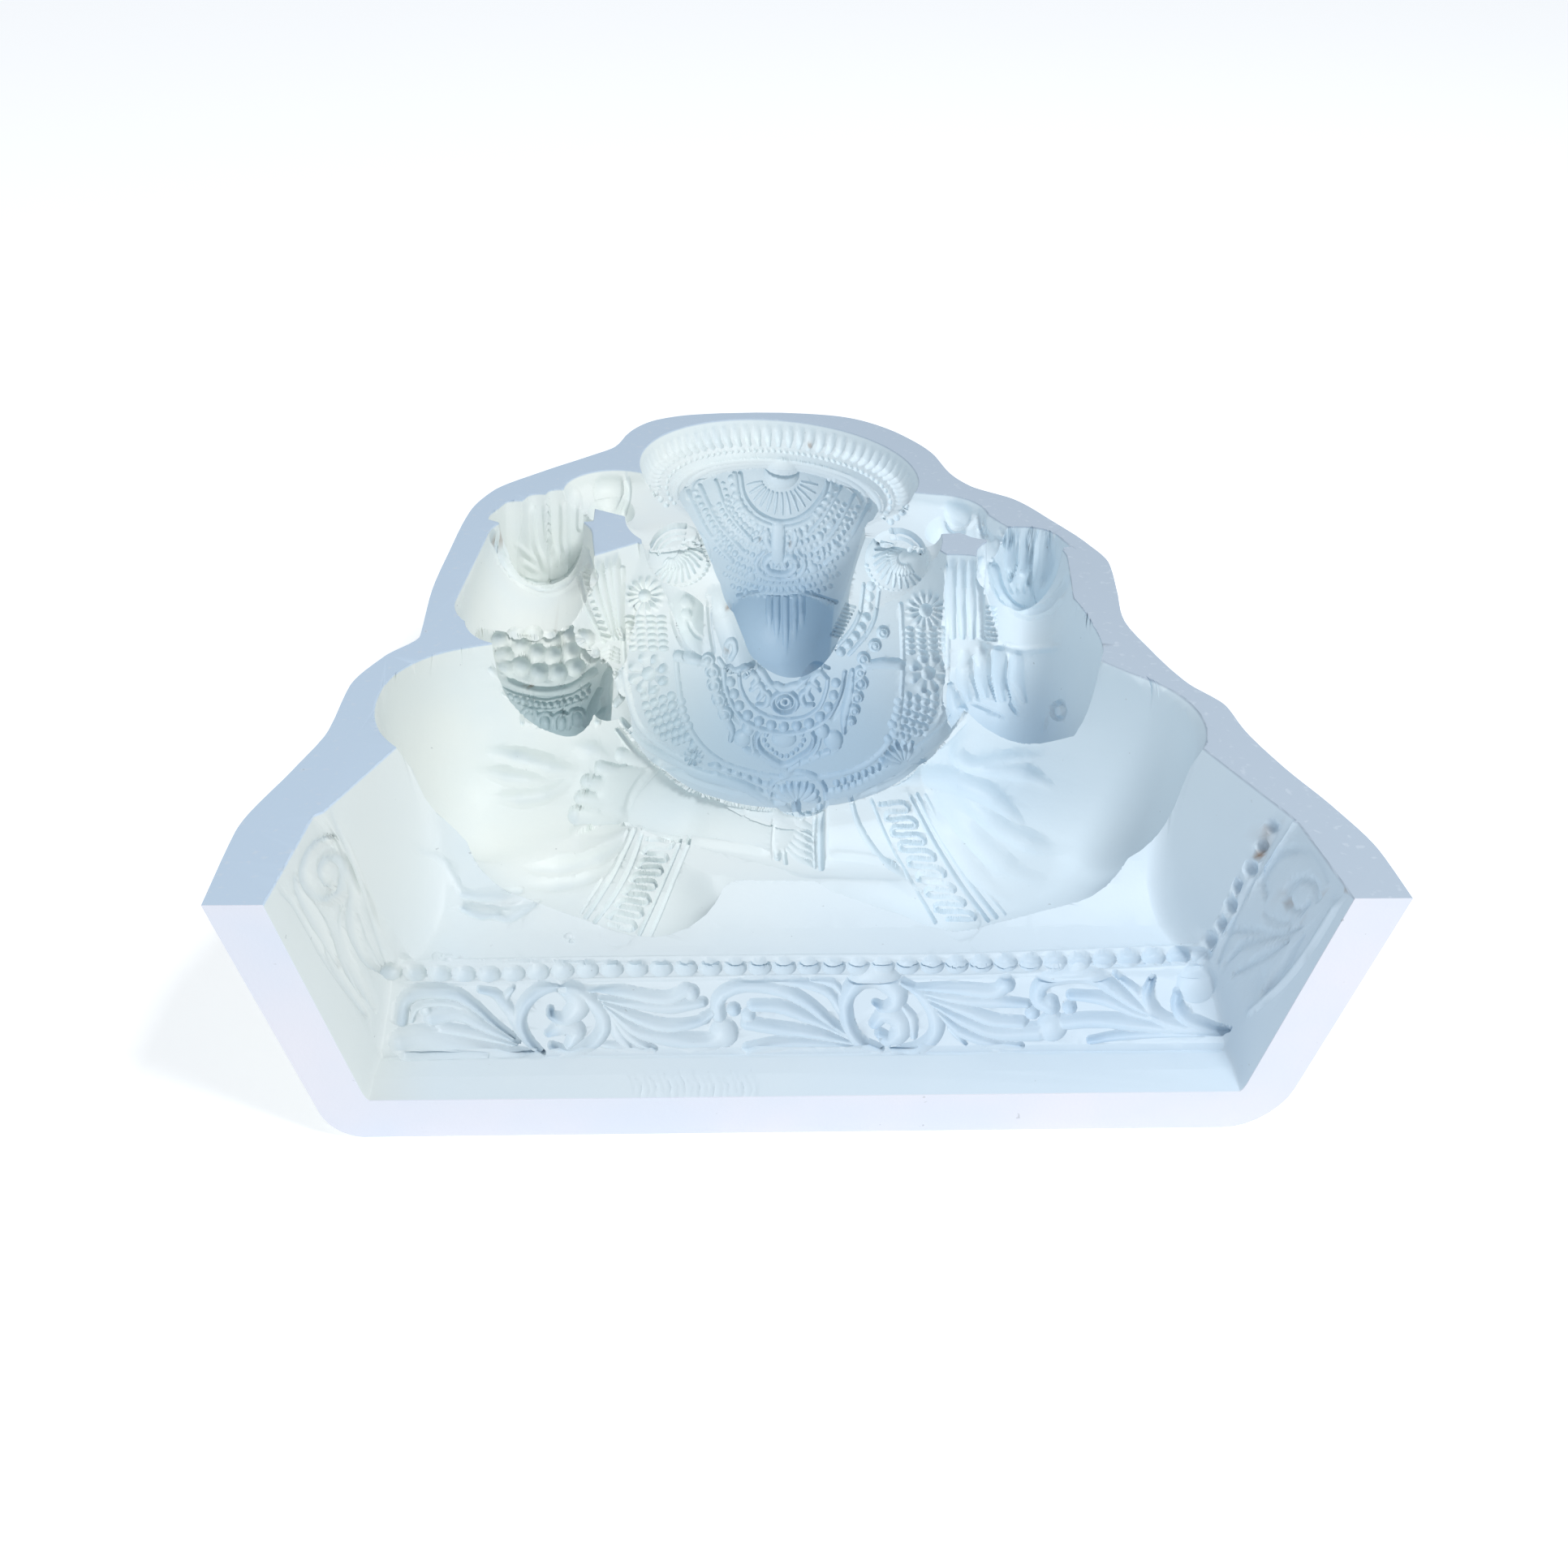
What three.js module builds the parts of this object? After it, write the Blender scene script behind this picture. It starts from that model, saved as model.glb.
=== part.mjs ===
import * as THREE from 'three';

// Front half of a flexible casting mould for a seated figure on a plinth.
// It lies on its back with the hollow up: X right, Y from the cut base to the crown, Z up.
// The hollow is a depth below the parting face, given for every point (x, y) of the plan.

// Driving dimensions in millimetres
const LENGTH = 322;
const HEIGHT = 72;
const HALF_WIDTH = 141.5;
const BASE_DRAFT = 22;
const SIDE_DRAFT = 9;
const CROWN_DRAFT = 14;
const CORNER_LEFT = 8;
const CORNER_RIGHT = 13;
const PLINTH_DEPTH = 60;
const PLINTH_HALF = 127.5;
const PANEL_FROM = 13.2;
const PANEL_TO = 28.5;
const BEAD_LINE = 32;
const BEAD_PITCH = 6.4;
const BEAD_RADIUS = 2.7;
const LEG_DEPTH = 50;
const BELLY_DEPTH = 57;
const TRUNK_DEPTH = 62;
const HALO_RADIUS = 50.5;
const HALO_DEPTH = 11;
const HALO_Y = 265;
const GRID = 256;
const TOLERANCE = 1.22;

// Plan outline: distance out from the middle line at each Y, left side and right side
const LEFT_EDGE = [
  [0, HALF_WIDTH], [30, 140.5], [60, 132], [80, 126.5], [104, 125], [122, 118], [135, 109.5],
  [162, 110], [195, 108], [226, 105], [244, 99], [262, 83], [276, 68], [286, 58.5], [300, 54],
  [311, 47], [318, 35], [321, 20], [LENGTH, 6],
];
const RIGHT_EDGE = [
  [0, HALF_WIDTH], [20, 140], [40, 134.5], [60, 127], [80, 121.5], [92, 120], [106, 112],
  [125, 106], [147, 101.7], [165, 103.5], [186, 105], [202, 100.5], [220, 92], [238, 82],
  [250, 68], [262, 62], [280, 58], [298, 49], [311, 38], [318, 27], [321, 14], [LENGTH, 4],
];

const { clamp, lerp, smoothstep, degToRad } = THREE.MathUtils;
const OUTSIDE = -60;

// Straight steps between the points of a profile
function profile(points, t) {
  if (t <= points[0][0]) return points[0][1];
  for (let i = 1; i < points.length; i++) {
    const [a, b] = [points[i - 1], points[i]];
    if (t <= b[0]) return lerp(a[1], b[1], (t - a[0]) / (b[0] - a[0]));
  }
  return points[points.length - 1][1];
}

// Smooth curve through the points of a profile, without overshoot
function smoothProfile(points) {
  const n = points.length;
  const step = [], slope = [], tangent = new Array(n).fill(0);
  for (let i = 0; i < n - 1; i++) {
    step.push(points[i + 1][0] - points[i][0]);
    slope.push((points[i + 1][1] - points[i][1]) / step[i]);
  }
  tangent[0] = slope[0];
  tangent[n - 1] = slope[n - 2];
  for (let i = 1; i < n - 1; i++) {
    if (slope[i - 1] * slope[i] <= 0) continue;
    const w1 = 2 * step[i] + step[i - 1];
    const w2 = step[i] + 2 * step[i - 1];
    tangent[i] = (w1 + w2) / (w1 / slope[i - 1] + w2 / slope[i]);
  }
  return (at) => {
    let i = 0;
    while (i < n - 2 && at > points[i + 1][0]) i++;
    const t = clamp((at - points[i][0]) / step[i], 0, 1);
    const s = 1 - t;
    return (1 + 2 * t) * s * s * points[i][1] + t * s * s * step[i] * tangent[i]
      + t * t * (3 - 2 * t) * points[i + 1][1] - t * t * s * step[i] * tangent[i + 1];
  };
}
const leftEdge = smoothProfile(LEFT_EDGE);
const rightEdge = smoothProfile(RIGHT_EDGE);

// Larger and smaller of two depths with a rounded crease of width k
function blendMax(a, b, k) {
  const h = clamp(0.5 + 0.5 * (a - b) / k, 0, 1);
  return b + (a - b) * h + k * h * (1 - h);
}
const blendMin = (a, b, k) => -blendMax(-a, -b, k);

// Rounded swelling with an oval or squarish plan
function swell(x, y, cx, cy, rx, ry, top, { turn = 0, plan = 2, dome = 2, wall = 2.5 } = {}) {
  const c = Math.cos(degToRad(turn)), s = Math.sin(degToRad(turn));
  const u = Math.abs((x - cx) * c + (y - cy) * s) / rx;
  const v = Math.abs((y - cy) * c - (x - cx) * s) / ry;
  const r = (u ** plan + v ** plan) ** (1 / plan);
  return r < 1 ? top * Math.sqrt(1 - r ** dome) : (1 - r) * Math.min(rx, ry) * wall;
}

// Tapered round limb between two points: radii and front depths at its ends
function limb(x, y, a, b, ra, rb, da, db, flat = 1, wall = 2.5) {
  const dx = b[0] - a[0], dy = b[1] - a[1];
  const t = clamp(((x - a[0]) * dx + (y - a[1]) * dy) / (dx * dx + dy * dy), 0, 1);
  const r = lerp(ra, rb, t), front = lerp(da, db, t);
  const q = Math.hypot(x - a[0] - t * dx, y - a[1] - t * dy) / r;
  return q < 1 ? front - r * flat * (1 - Math.sqrt(1 - q * q)) : front - r * flat - (q - 1) * r * wall;
}

// Raised or sunk line along a smooth path: half width w, height h
function stroke(points, w, h) {
  const curve = new THREE.SplineCurve(points.map((p) => new THREE.Vector2(...p)));
  const line = curve.getPoints(Math.max(6, points.length * 4));
  const box = new THREE.Box2().setFromPoints(line).expandByScalar(w);
  return (x, y) => {
    if (x < box.min.x || x > box.max.x || y < box.min.y || y > box.max.y) return 0;
    let best = w;
    for (let i = 1; i < line.length; i++) {
      const a = line[i - 1], b = line[i];
      const dx = b.x - a.x, dy = b.y - a.y;
      const t = clamp(((x - a.x) * dx + (y - a.y) * dy) / (dx * dx + dy * dy), 0, 1);
      best = Math.min(best, Math.hypot(x - a.x - t * dx, y - a.y - t * dy));
    }
    return h * (1 - smoothstep(best / w, 0.45, 1));
  };
}

// Raised button of radius r and height h, with petals round it
function button(cx, cy, r, h, petals = 0) {
  return (x, y) => {
    const q = Math.hypot(x - cx, y - cy) / r;
    if (q >= 1) return 0;
    const wave = petals ? 0.25 * Math.cos(petals * Math.atan2(y - cy, x - cx)) * q : 0;
    return h * Math.sqrt(1 - q * q) * (1 + wave);
  };
}

// Half-hexagonal plinth: plain foot, sunk panel, bead line; its sides slope in
function plinth(x, y) {
  const front = profile([
    [0, PLINTH_DEPTH], [6, 57.5], [11, 56.5], [12.4, 56.8], [PANEL_FROM, 55],
    [PANEL_TO, 47], [30, 46], [35, 45.5],
  ], y);
  const t = clamp(y / 40, 0, 1);
  const side = (PLINTH_HALF - 0.12 * y - Math.abs(x)) * (3.45 - 0.85 * t);
  const end = 35.5 - 0.02 * x;
  const d = blendMin(front, side, 3.5);
  return y < end ? d : d - (y - end) * 3;
}

// Rounded cushion on the plinth, under the crossed legs
function cushion(x, y) {
  if (y < 34) return OUTSIDE;
  const front = profile([
    [34, 45], [38, 45.2], [43, 45], [49, 44], [54, 41], [59, 37], [63, 32], [67, 25], [70, 17], [74, 0],
  ], y);
  const side = (120.7 - (y - 40) * 0.43 - Math.abs(x)) * 2.6;
  return blendMin(front, side, 9);
}

// Crossed legs: a thigh and a shin each side, and the lap between them
function legs(x, y) {
  let l = limb(x, y, [-86, 99], [-58, 109], 30, 30, 49, LEG_DEPTH, 1.63);
  l = blendMax(l, limb(x, y, [-84, 93], [-62, 82], 29, 29, 48, 52, 1.4), 6);
  l = blendMax(l, limb(x, y, [-68, 78], [-41, 64.5], 25, 21, 52, 54.5), 6);
  l = blendMax(l, limb(x, y, [-40, 62], [-22, 68], 17, 8, 53, 46), 4);
  let r = limb(x, y, [80.5, 86], [60, 107], 29.5, 30, 49, LEG_DEPTH, 1.63);
  r = blendMax(r, limb(x, y, [80, 84], [62, 78], 28, 29, 48, 52, 1.4), 6);
  r = blendMax(r, limb(x, y, [68, 75], [42, 65.5], 25, 20.5, 52, 54), 6);
  r = blendMax(r, limb(x, y, [56, 90], [6, 86], 24, 14, 54, LEG_DEPTH), 9);
  r = blendMax(r, limb(x, y, [42, 62], [12, 66], 15, 9, 53, 46), 4);
  const lap = swell(x, y, 0, 89, 70, 34.5, 45, { plan: 2.5, dome: 6 });
  return blendMax(blendMax(l, r, 3), lap, 4);
}

// Foot that lies over the other leg, with five toes
const TOES = [[-60, 111.5], [-59, 116], [-56, 120], [-52, 123], [-47.5, 125]];
function foot(x, y) {
  let d = limb(x, y, [6, 86], [-30, 102], 14, 13.5, LEG_DEPTH, LEG_DEPTH);
  d = blendMax(d, limb(x, y, [-34, 104], [-56, 113], 13, 10, LEG_DEPTH, 47), 3);
  for (const [i, [tx, ty]] of TOES.entries()) {
    d = blendMax(d, limb(x, y, [tx, ty], [tx + 5, ty - 3], 3.4, 3.2, 50.5 - 2.2 * i, 50 - 2 * i), 1);
  }
  return d;
}

// Belly with a notch for the belt's clasp, chest and shoulders
function body(x, y) {
  const belly = swell(x, y, 0, 148, 59, 54, BELLY_DEPTH, { plan: 2.15, dome: 2.8 });
  const clasp = swell(x, y, 3, 112.5, 10, 8.5, 55, { plan: 1.7, dome: 8, wall: 5 });
  const chest = swell(x, y, 0, 164, 57, 47, 50, { plan: 3.2, dome: 3.2 });
  const shoulders = swell(x, y, 2, 205, 48, 24, 28, { plan: 2.6, dome: 3 });
  return Math.max(blendMax(belly, chest, 8), clasp, shoulders);
}

// Round halo with stepped rings
function halo(x, y) {
  const r = Math.hypot(x - 0.5, y - HALO_Y);
  return profile([
    [0, HALO_DEPTH], [38, HALO_DEPTH], [39, 9], [41.5, 9], [42.5, 7.6], [46, 6.5],
    [48.5, 3.2], [49.8, 0], [HALO_RADIUS, -1], [HALO_RADIUS + 40, -80],
  ], r);
}

// Tall crown and face: a funnel that narrows to the trunk below and to a point above
function crown(x, y) {
  if (y > 294) return OUTSIDE;
  const half = profile([
    [196, 10], [205, 14], [212, 17], [222, 23.5], [232, 27], [240, 30], [250, 33.5], [258, 35.5],
    [264, 35.5], [270, 33.5], [276, 30], [282, 25], [288, 18], [291, 12], [293, 6], [294, 0],
  ], y);
  const rim = profile([[205, 22], [225, 16], [250, 9], [294, 9]], y);
  const depth = profile([[200, 36], [235, 35], [262, 31], [275, 26], [284, 18], [292, 5], [294, 0]], y);
  const q = 1 - ((x - 0.5) / Math.max(half, 0.1)) ** 2;
  const d = q > 0 ? rim + depth * Math.sqrt(q) : rim - (Math.abs(x) - half) * 3;
  return y < 200 ? d - (200 - y) * 3 : d;
}

// Trunk straight down from the face, and the two lobes of its curled tip
function trunk(x, y) {
  const d = limb(x, y, [1.5, 232], [3.5, 205.5], 18.5, 13.8, TRUNK_DEPTH, TRUNK_DEPTH, 1.3, 3);
  const tip = limb(x, y, [-19.5, 212], [-14, 196.5], 7, 7.5, 33, 46, 2.2);
  const side = limb(x, y, [-32, 204], [-28, 192], 6, 6, 35, 42, 2.2);
  return Math.max(d, tip, side);
}

// Raised hand: finger grooves side by side, given as middle, tip and half width
function fingers(x, y, list, depth, heel) {
  if (y < heel) return OUTSIDE;
  let d = OUTSIDE;
  for (const [fx, tip, w] of list) {
    const u = Math.abs(x - fx) / w;
    let f = Math.min((tip - y) * 2.6, depth);
    f = u < 1 ? f - 0.25 * depth * (1 - Math.sqrt(1 - u * u)) : f - 0.25 * depth - (u - 1) * 30;
    if (y > tip - 30) d = Math.max(d, f);
  }
  return d;
}

// Left arms: raised hand with what it holds, sleeve, bowl of sweets
const LEFT_FINGERS = [[-89.5, 236, 4.8], [-82.5, 242, 4.6], [-76, 246, 4.4], [-70, 248, 3.8]];
const SWEETS = [];
for (let row = 0; row < 3; row++) {
  for (let i = 0; i < 6; i++) {
    SWEETS.push([-89.5 + i * 6.2 + (row % 2) * 3, 178.5 - row * 2.6, 29.1 + row * 7.5]);
  }
}
function leftArms(x, y) {
  let d = limb(x, y, [-80, 158], [-80, 207], 21, 17, 26, 19.5, 1.1);
  d = Math.max(d, fingers(x, y, LEFT_FINGERS, 33, 213 + 0.02 * (x + 80) ** 2));
  d = blendMax(d, swell(x, y, -79.5, 222, 13.5, 13.5, 32, { plan: 2.4, dome: 5, wall: 4 }), 1);
  d = blendMax(d, swell(x, y, -58.5, 246, 9, 13, 17, { dome: 2.6 }), 2);
  d = blendMax(d, limb(x, y, [-57, 246], [-26, 231], 17, 21, 9.5, 9, 0.42), 2);
  d = blendMax(d, swell(x, y, -35, 222, 17.5, 24, 10), 2);
  const sleeve = swell(x, y, -56, 176, 15, 28, 28, { plan: 2.6, dome: 3 });
  d = blendMax(d, Math.min(sleeve, (189 + Math.max(x + 65, -4) * 0.75 - y) * 3), 2);
  d = Math.max(d, swell(x, y, -76, 154.5, 22, 26, 54, { plan: 2.8, dome: 9, wall: 4 }));
  d = blendMax(d, swell(x, y, -54, 146, 12, 16, 38, { plan: 2.4, dome: 3 }), 3);
  for (const [sx, sy, depth] of SWEETS) {
    d = Math.max(d, limb(x, y, [sx, sy], [sx, sy - 1], 3.6, 3.6, depth, depth));
  }
  return d;
}

// Right arms: raised hand, sleeve, open palm in front that ends at the thigh
const RIGHT_FINGERS = [[75.5, 209, 4], [81.5, 214, 3.8], [87.5, 211, 4.4]];
function rightArms(x, y) {
  let d = limb(x, y, [74, 152], [77.5, 192], 13.5, 16, 26, 19.5, 2);
  d = Math.max(d, fingers(x, y, RIGHT_FINGERS, 32, 195 + 0.02 * (x - 80) ** 2));
  d = blendMax(d, swell(x, y, 80, 202.5, 12.5, 12.5, 31, { plan: 2.4, dome: 5, wall: 4 }), 1);
  d = blendMax(d, swell(x, y, 57, 227, 8, 12, 14, { dome: 2.6 }), 2);
  d = blendMax(d, limb(x, y, [63, 220], [68, 213], 8, 6, 12, 12), 2);
  d = blendMax(d, limb(x, y, [54, 226], [26, 228], 16, 21, 9, 9, 0.42), 2);
  d = blendMax(d, swell(x, y, 38, 208, 15, 24, 9), 2);
  d = blendMax(d, swell(x, y, 56, 166, 15, 27, 28, { plan: 2.6, dome: 3 }), 2);
  const palm = swell(x, y, 68, 142, 23.5, 31, 46, { turn: 5, plan: 3.2, dome: 2.8 });
  return blendMax(d, Math.min(palm, (0.407 * x + 0.914 * y - 137) * 4), 5);
}

// Carving that stands out of the forms: bands, rosettes, folds, hems
const CARVING = [
  stroke([[-49, 202], [-45, 196], [-43.5, 183], [-41, 165], [-35, 148]], 7.5, 1.7),
  stroke([[48.5, 200], [48, 194], [46, 178], [42, 158], [33.5, 143]], 7.5, 1.7),
  button(-45.3, 199, 6, 2.2, 10), button(-44.5, 179, 6.5, 2.6, 8),
  button(48.6, 194, 6, 2.2, 10), button(45, 167, 6.5, 2.6, 8), button(37, 138, 6, 2.4, 9),
  stroke([[-35, 196], [-31, 183], [-20, 168], [0.5, 152], [20, 168], [30, 183], [33, 196]], 3.4, 1.6),
  stroke([[-18, 200], [-12, 188], [0.8, 182], [14, 188], [18, 200]], 3.6, 1.6),
  button(0.8, 182.5, 4.5, 2.6), button(1, 161, 5, 2.4),
  stroke([[-35, 143], [-18, 140], [3.6, 133], [23, 138], [36, 139], [49, 134]], 2.8, 1.8),
  button(3.6, 131, 6.5, 2.5, 9),
  button(-34, 216, 8.5, 2.6, 12), button(38, 211, 8.5, 2.6, 12),
  stroke([[-17, 288], [-9, 281], [2, 277], [14, 279], [21, 285]], 2.4, 1.6),
  stroke([[-26, 280], [-16, 271], [1.6, 262], [22, 266], [31, 274]], 2.6, 1.8),
  stroke([[-94, 210], [-79.5, 203], [-67, 209]], 2.8, 1.8),
  stroke([[67, 199], [80, 187.5], [91, 194]], 2.8, 1.8),
  stroke([[-40, 106], [-43, 81], [-47, 58]], 1.8, 1.5),
  stroke([[-48, 97], [-52, 82], [-59, 63]], 1.8, 1.5),
  stroke([[25, 109], [35, 92], [45, 62]], 1.8, 1.5),
  stroke([[33, 108], [41.5, 94], [52, 62]], 1.8, 1.5),
  stroke([[-2, 104], [-1, 80]], 6, 1.8),
  stroke([[-99, 112], [-84, 112], [-71, 110]], 3, -1.4),
  stroke([[-92, 120], [-74, 121], [-58, 124]], 3, -1.4),
  stroke([[40, 108], [58, 111], [79, 106]], 3, -1.4),
  stroke([[56, 121], [74, 117], [90, 107]], 3, -1.4),
  stroke([[-51, 197], [-52, 184]], 2, -2), stroke([[-58, 192], [-56, 182]], 2, -2),
  stroke([[54, 193], [56, 181]], 2, -2), stroke([[61, 191], [61, 180]], 2, -2),
  stroke([[61, 170], [61, 158]], 1.8, -2), stroke([[67, 169], [69, 157]], 1.8, -2),
  stroke([[73, 168], [75, 156]], 1.8, -2),
  button(-90, 60, 3.4, 2), button(-83, 57, 4.2, 2.4), button(-76, 54.5, 3.4, 2),
];

// Scroll panel on the front of the plinth: curled volutes between fans of leaves
const SCROLLS = [];
const panelY = (t) => lerp(PANEL_FROM + 1.5, PANEL_TO - 1.5, t);
for (const cx of [-63, 18, 99]) {
  const curl = [];
  for (let i = 0; i <= 9; i++) {
    const a = degToRad(200 - i * 42), r = 6.4 - 0.55 * i;
    curl.push([cx + 1.25 * r * Math.cos(a), panelY(0.5) + 0.9 * r * Math.sin(a)]);
  }
  SCROLLS.push(stroke(curl, 1.7, 2.2));
  for (let i = 0; i < 4; i++) {
    const reach = 33 - 5.5 * i;
    if (cx < 90 || i < 4) {
      SCROLLS.push(stroke([[cx - 10, panelY(0.05 + 0.12 * i)], [cx - 8 - reach * 0.6, panelY(0.3 + 0.12 * i)],
        [cx - 8 - reach, panelY(0.55 + 0.14 * i)]], 2.2, 2.4));
    }
    if (cx < 90) {
      SCROLLS.push(stroke([[cx + 9, panelY(0.95 - 0.1 * i)], [cx + 8 + reach * 0.55, panelY(0.7 - 0.12 * i)],
        [cx + 8 + reach, panelY(0.4 - 0.12 * i)]], 2.2, 2.4));
    }
  }
}

// Bead line along the front edge of the plinth
function beads(x, y) {
  if (Math.abs(x) > 103) return 0;
  const u = x / BEAD_PITCH - Math.round(x / BEAD_PITCH);
  const q = Math.hypot(u * BEAD_PITCH / 1.12, (y - BEAD_LINE) * 1.05) / BEAD_RADIUS;
  return q < 1 ? 2 * Math.sqrt(1 - q * q) : 0;
}

// The upper part of the figure leans a little to the left
const lean = (x, y) => y + 0.15 * x * smoothstep(y, 215, 262);

function depthAt(x, y) {
  const yl = lean(x, y);
  const figure = Math.max(
    plinth(x, y), cushion(x, y), legs(x, y), foot(x, y), body(x, y), leftArms(x, y), rightArms(x, y),
    halo(x, yl), crown(x, yl), trunk(x, yl),
  );
  if (figure <= 0) return 0;
  let cut = 0;
  for (const c of CARVING) cut += c(x, y);
  let leaf = 0;
  if (y > PANEL_FROM && y < PANEL_TO) for (const s of SCROLLS) leaf = Math.max(leaf, s(x, y));
  return figure + (cut + leaf + beads(x, y)) * smoothstep(figure, 1, 8);
}

// Point of the upper skin at grid position (i, j)
function skinPoint(i, j) {
  const y = LENGTH * j / GRID;
  const x = lerp(-leftEdge(y), rightEdge(y), i / GRID);
  return [x, y, -depthAt(x, y)];
}

// Upper skin: right-angled triangles, split until each edge is within the tolerance
function upperSkin() {
  const n = GRID + 1;
  const p = [];
  for (let j = 0; j < n; j++) for (let i = 0; i < n; i++) p.push(skinPoint(i, j));
  const steep = (k) => {
    const i = clamp(k % n, 1, GRID - 1), j = clamp(Math.floor(k / n), 1, GRID - 1), c = j * n + i;
    const sx = (p[c + 1][2] - p[c - 1][2]) / (p[c + 1][0] - p[c - 1][0]);
    const sy = (p[c + n][2] - p[c - n][2]) / (p[c + n][1] - p[c - n][1]);
    return Math.sqrt(1 + sx * sx + sy * sy);
  };
  const gap = new Float64Array(n * n);
  const total = GRID * GRID * 2 - 2, parents = total - GRID * GRID;
  for (let t = total - 1; t >= 0; t--) {
    let id = t + 2, ax = 0, ay = 0, bx = 0, by = 0, cx = 0, cy = 0;
    if (id & 1) bx = by = cx = GRID; else ax = ay = cy = GRID;
    while ((id >>= 1) > 1) {
      const mx = (ax + bx) >> 1, my = (ay + by) >> 1;
      if (id & 1) { bx = ax; by = ay; ax = cx; ay = cy; } else { ax = bx; ay = by; bx = cx; by = cy; }
      cx = mx; cy = my;
    }
    const a = p[ay * n + ax], b = p[by * n + bx];
    const mx = (ax + bx) >> 1, my = (ay + by) >> 1, m = my * n + mx;
    const q = p[m];
    const off = Math.hypot((a[0] + b[0]) / 2 - q[0], (a[1] + b[1]) / 2 - q[1]);
    const err = Math.abs((a[2] + b[2]) / 2 - q[2]) / Math.min(steep(m), 5) + 0.8 * off;
    gap[m] = Math.max(gap[m], err);
    if (t < parents) {
      gap[m] = Math.max(gap[m], gap[((ay + cy) >> 1) * n + ((ax + cx) >> 1)],
        gap[((by + cy) >> 1) * n + ((bx + cx) >> 1)]);
    }
  }
  const used = new Map(), vertices = [], faces = [];
  const vertex = (i, j) => {
    const k = j * n + i;
    if (!used.has(k)) {
      used.set(k, vertices.length);
      vertices.push(p[k]);
    }
    return used.get(k);
  };
  const split = (ax, ay, bx, by, cx, cy) => {
    const mx = (ax + bx) >> 1, my = (ay + by) >> 1;
    if (Math.abs(ax - cx) + Math.abs(ay - cy) > 1 && gap[my * n + mx] > TOLERANCE) {
      split(cx, cy, ax, ay, mx, my);
      split(bx, by, cx, cy, mx, my);
    } else {
      faces.push([vertex(bx, by), vertex(ax, ay), vertex(cx, cy)]);
    }
  };
  split(0, 0, GRID, GRID, GRID, 0);
  split(GRID, GRID, 0, 0, 0, GRID);
  const edge = (test) => [...used.keys()].filter((k) => test(k % n, Math.floor(k / n)));
  const at = (list) => list.map((k) => used.get(k));
  return {
    vertices, faces,
    left: at(edge((i) => i === 0).sort((a, b) => a - b)),
    crown: at(edge((i, j) => j === GRID).sort((a, b) => a - b)),
    right: at(edge((i) => i === GRID).sort((a, b) => b - a)),
    base: at(edge((i, j) => j === 0).sort((a, b) => a - b)),
  };
}

// Outer wall: drafted sides and rounded lower edges, level by level
function shellPoint([x, y], angle, started) {
  const out = Math.abs(x);
  const draft = lerp(lerp(BASE_DRAFT, SIDE_DRAFT, smoothstep(y, 30, 85)), CROWN_DRAFT, smoothstep(y, 230, 300));
  const corner = x < 0 ? CORNER_LEFT : CORNER_RIGHT;
  const z = started ? -(HEIGHT - corner) - corner * Math.sin(angle) : 0;
  const inset = draft * -z / HEIGHT + (started ? corner * (1 - Math.cos(angle)) : 0);
  const scale = 1 - inset / Math.max(out, 60);
  return [x * scale, y - inset * smoothstep(y, 200, LENGTH), z];
}

function solid() {
  const skin = upperSkin();
  const { vertices, faces } = skin;
  const rim = [...skin.left, ...skin.crown.slice(1, -1), ...skin.right];
  const rings = [rim];
  for (const angle of [0, 45, 90]) {
    rings.push(rim.map((v) => vertices.push(shellPoint(vertices[v], degToRad(angle), true)) - 1));
  }
  for (let k = 1; k < rings.length; k++) {
    for (let i = 1; i < rim.length; i++) {
      const [a, b, c, d] = [rings[k - 1][i - 1], rings[k - 1][i], rings[k][i], rings[k][i - 1]];
      faces.push([a, b, c], [a, c, d]);
    }
  }
  // Flat underside
  const under = rings[rings.length - 1];
  const plan = under.map((v) => new THREE.Vector2(vertices[v][0], vertices[v][1]));
  for (const [a, b, c] of THREE.ShapeUtils.triangulateShape(plan, [])) {
    faces.push([under[c], under[b], under[a]]);
  }
  // Cut face of the base, in the plane y = 0
  const lower = rings.slice(1);
  const loop = [...skin.base, ...lower.map((r) => r[r.length - 1]), ...lower.reverse().map((r) => r[0])];
  const cut = loop.map((v) => new THREE.Vector2(vertices[v][0], vertices[v][2]));
  for (const [a, b, c] of THREE.ShapeUtils.triangulateShape(cut, [])) {
    faces.push([loop[a], loop[b], loop[c]]);
  }
  return { vertices, faces };
}

function toGeometry({ vertices, faces }) {
  const geometry = new THREE.BufferGeometry();
  geometry.setAttribute('position', new THREE.Float32BufferAttribute(vertices.flat(), 3));
  geometry.setIndex(faces.flat());
  return geometry;
}

const silicone = new THREE.MeshStandardMaterial({ color: 0xd6e4ee, roughness: 0.5, metalness: 0 });
const mould = new THREE.Mesh(toGeometry(solid()), silicone);
mould.name = 'mould_half';
mould.position.set(0, -LENGTH / 2, HEIGHT);

const group = new THREE.Group();
group.add(mould);
export default group;
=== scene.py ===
import bpy
import numpy as np
from mathutils import Matrix


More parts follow.
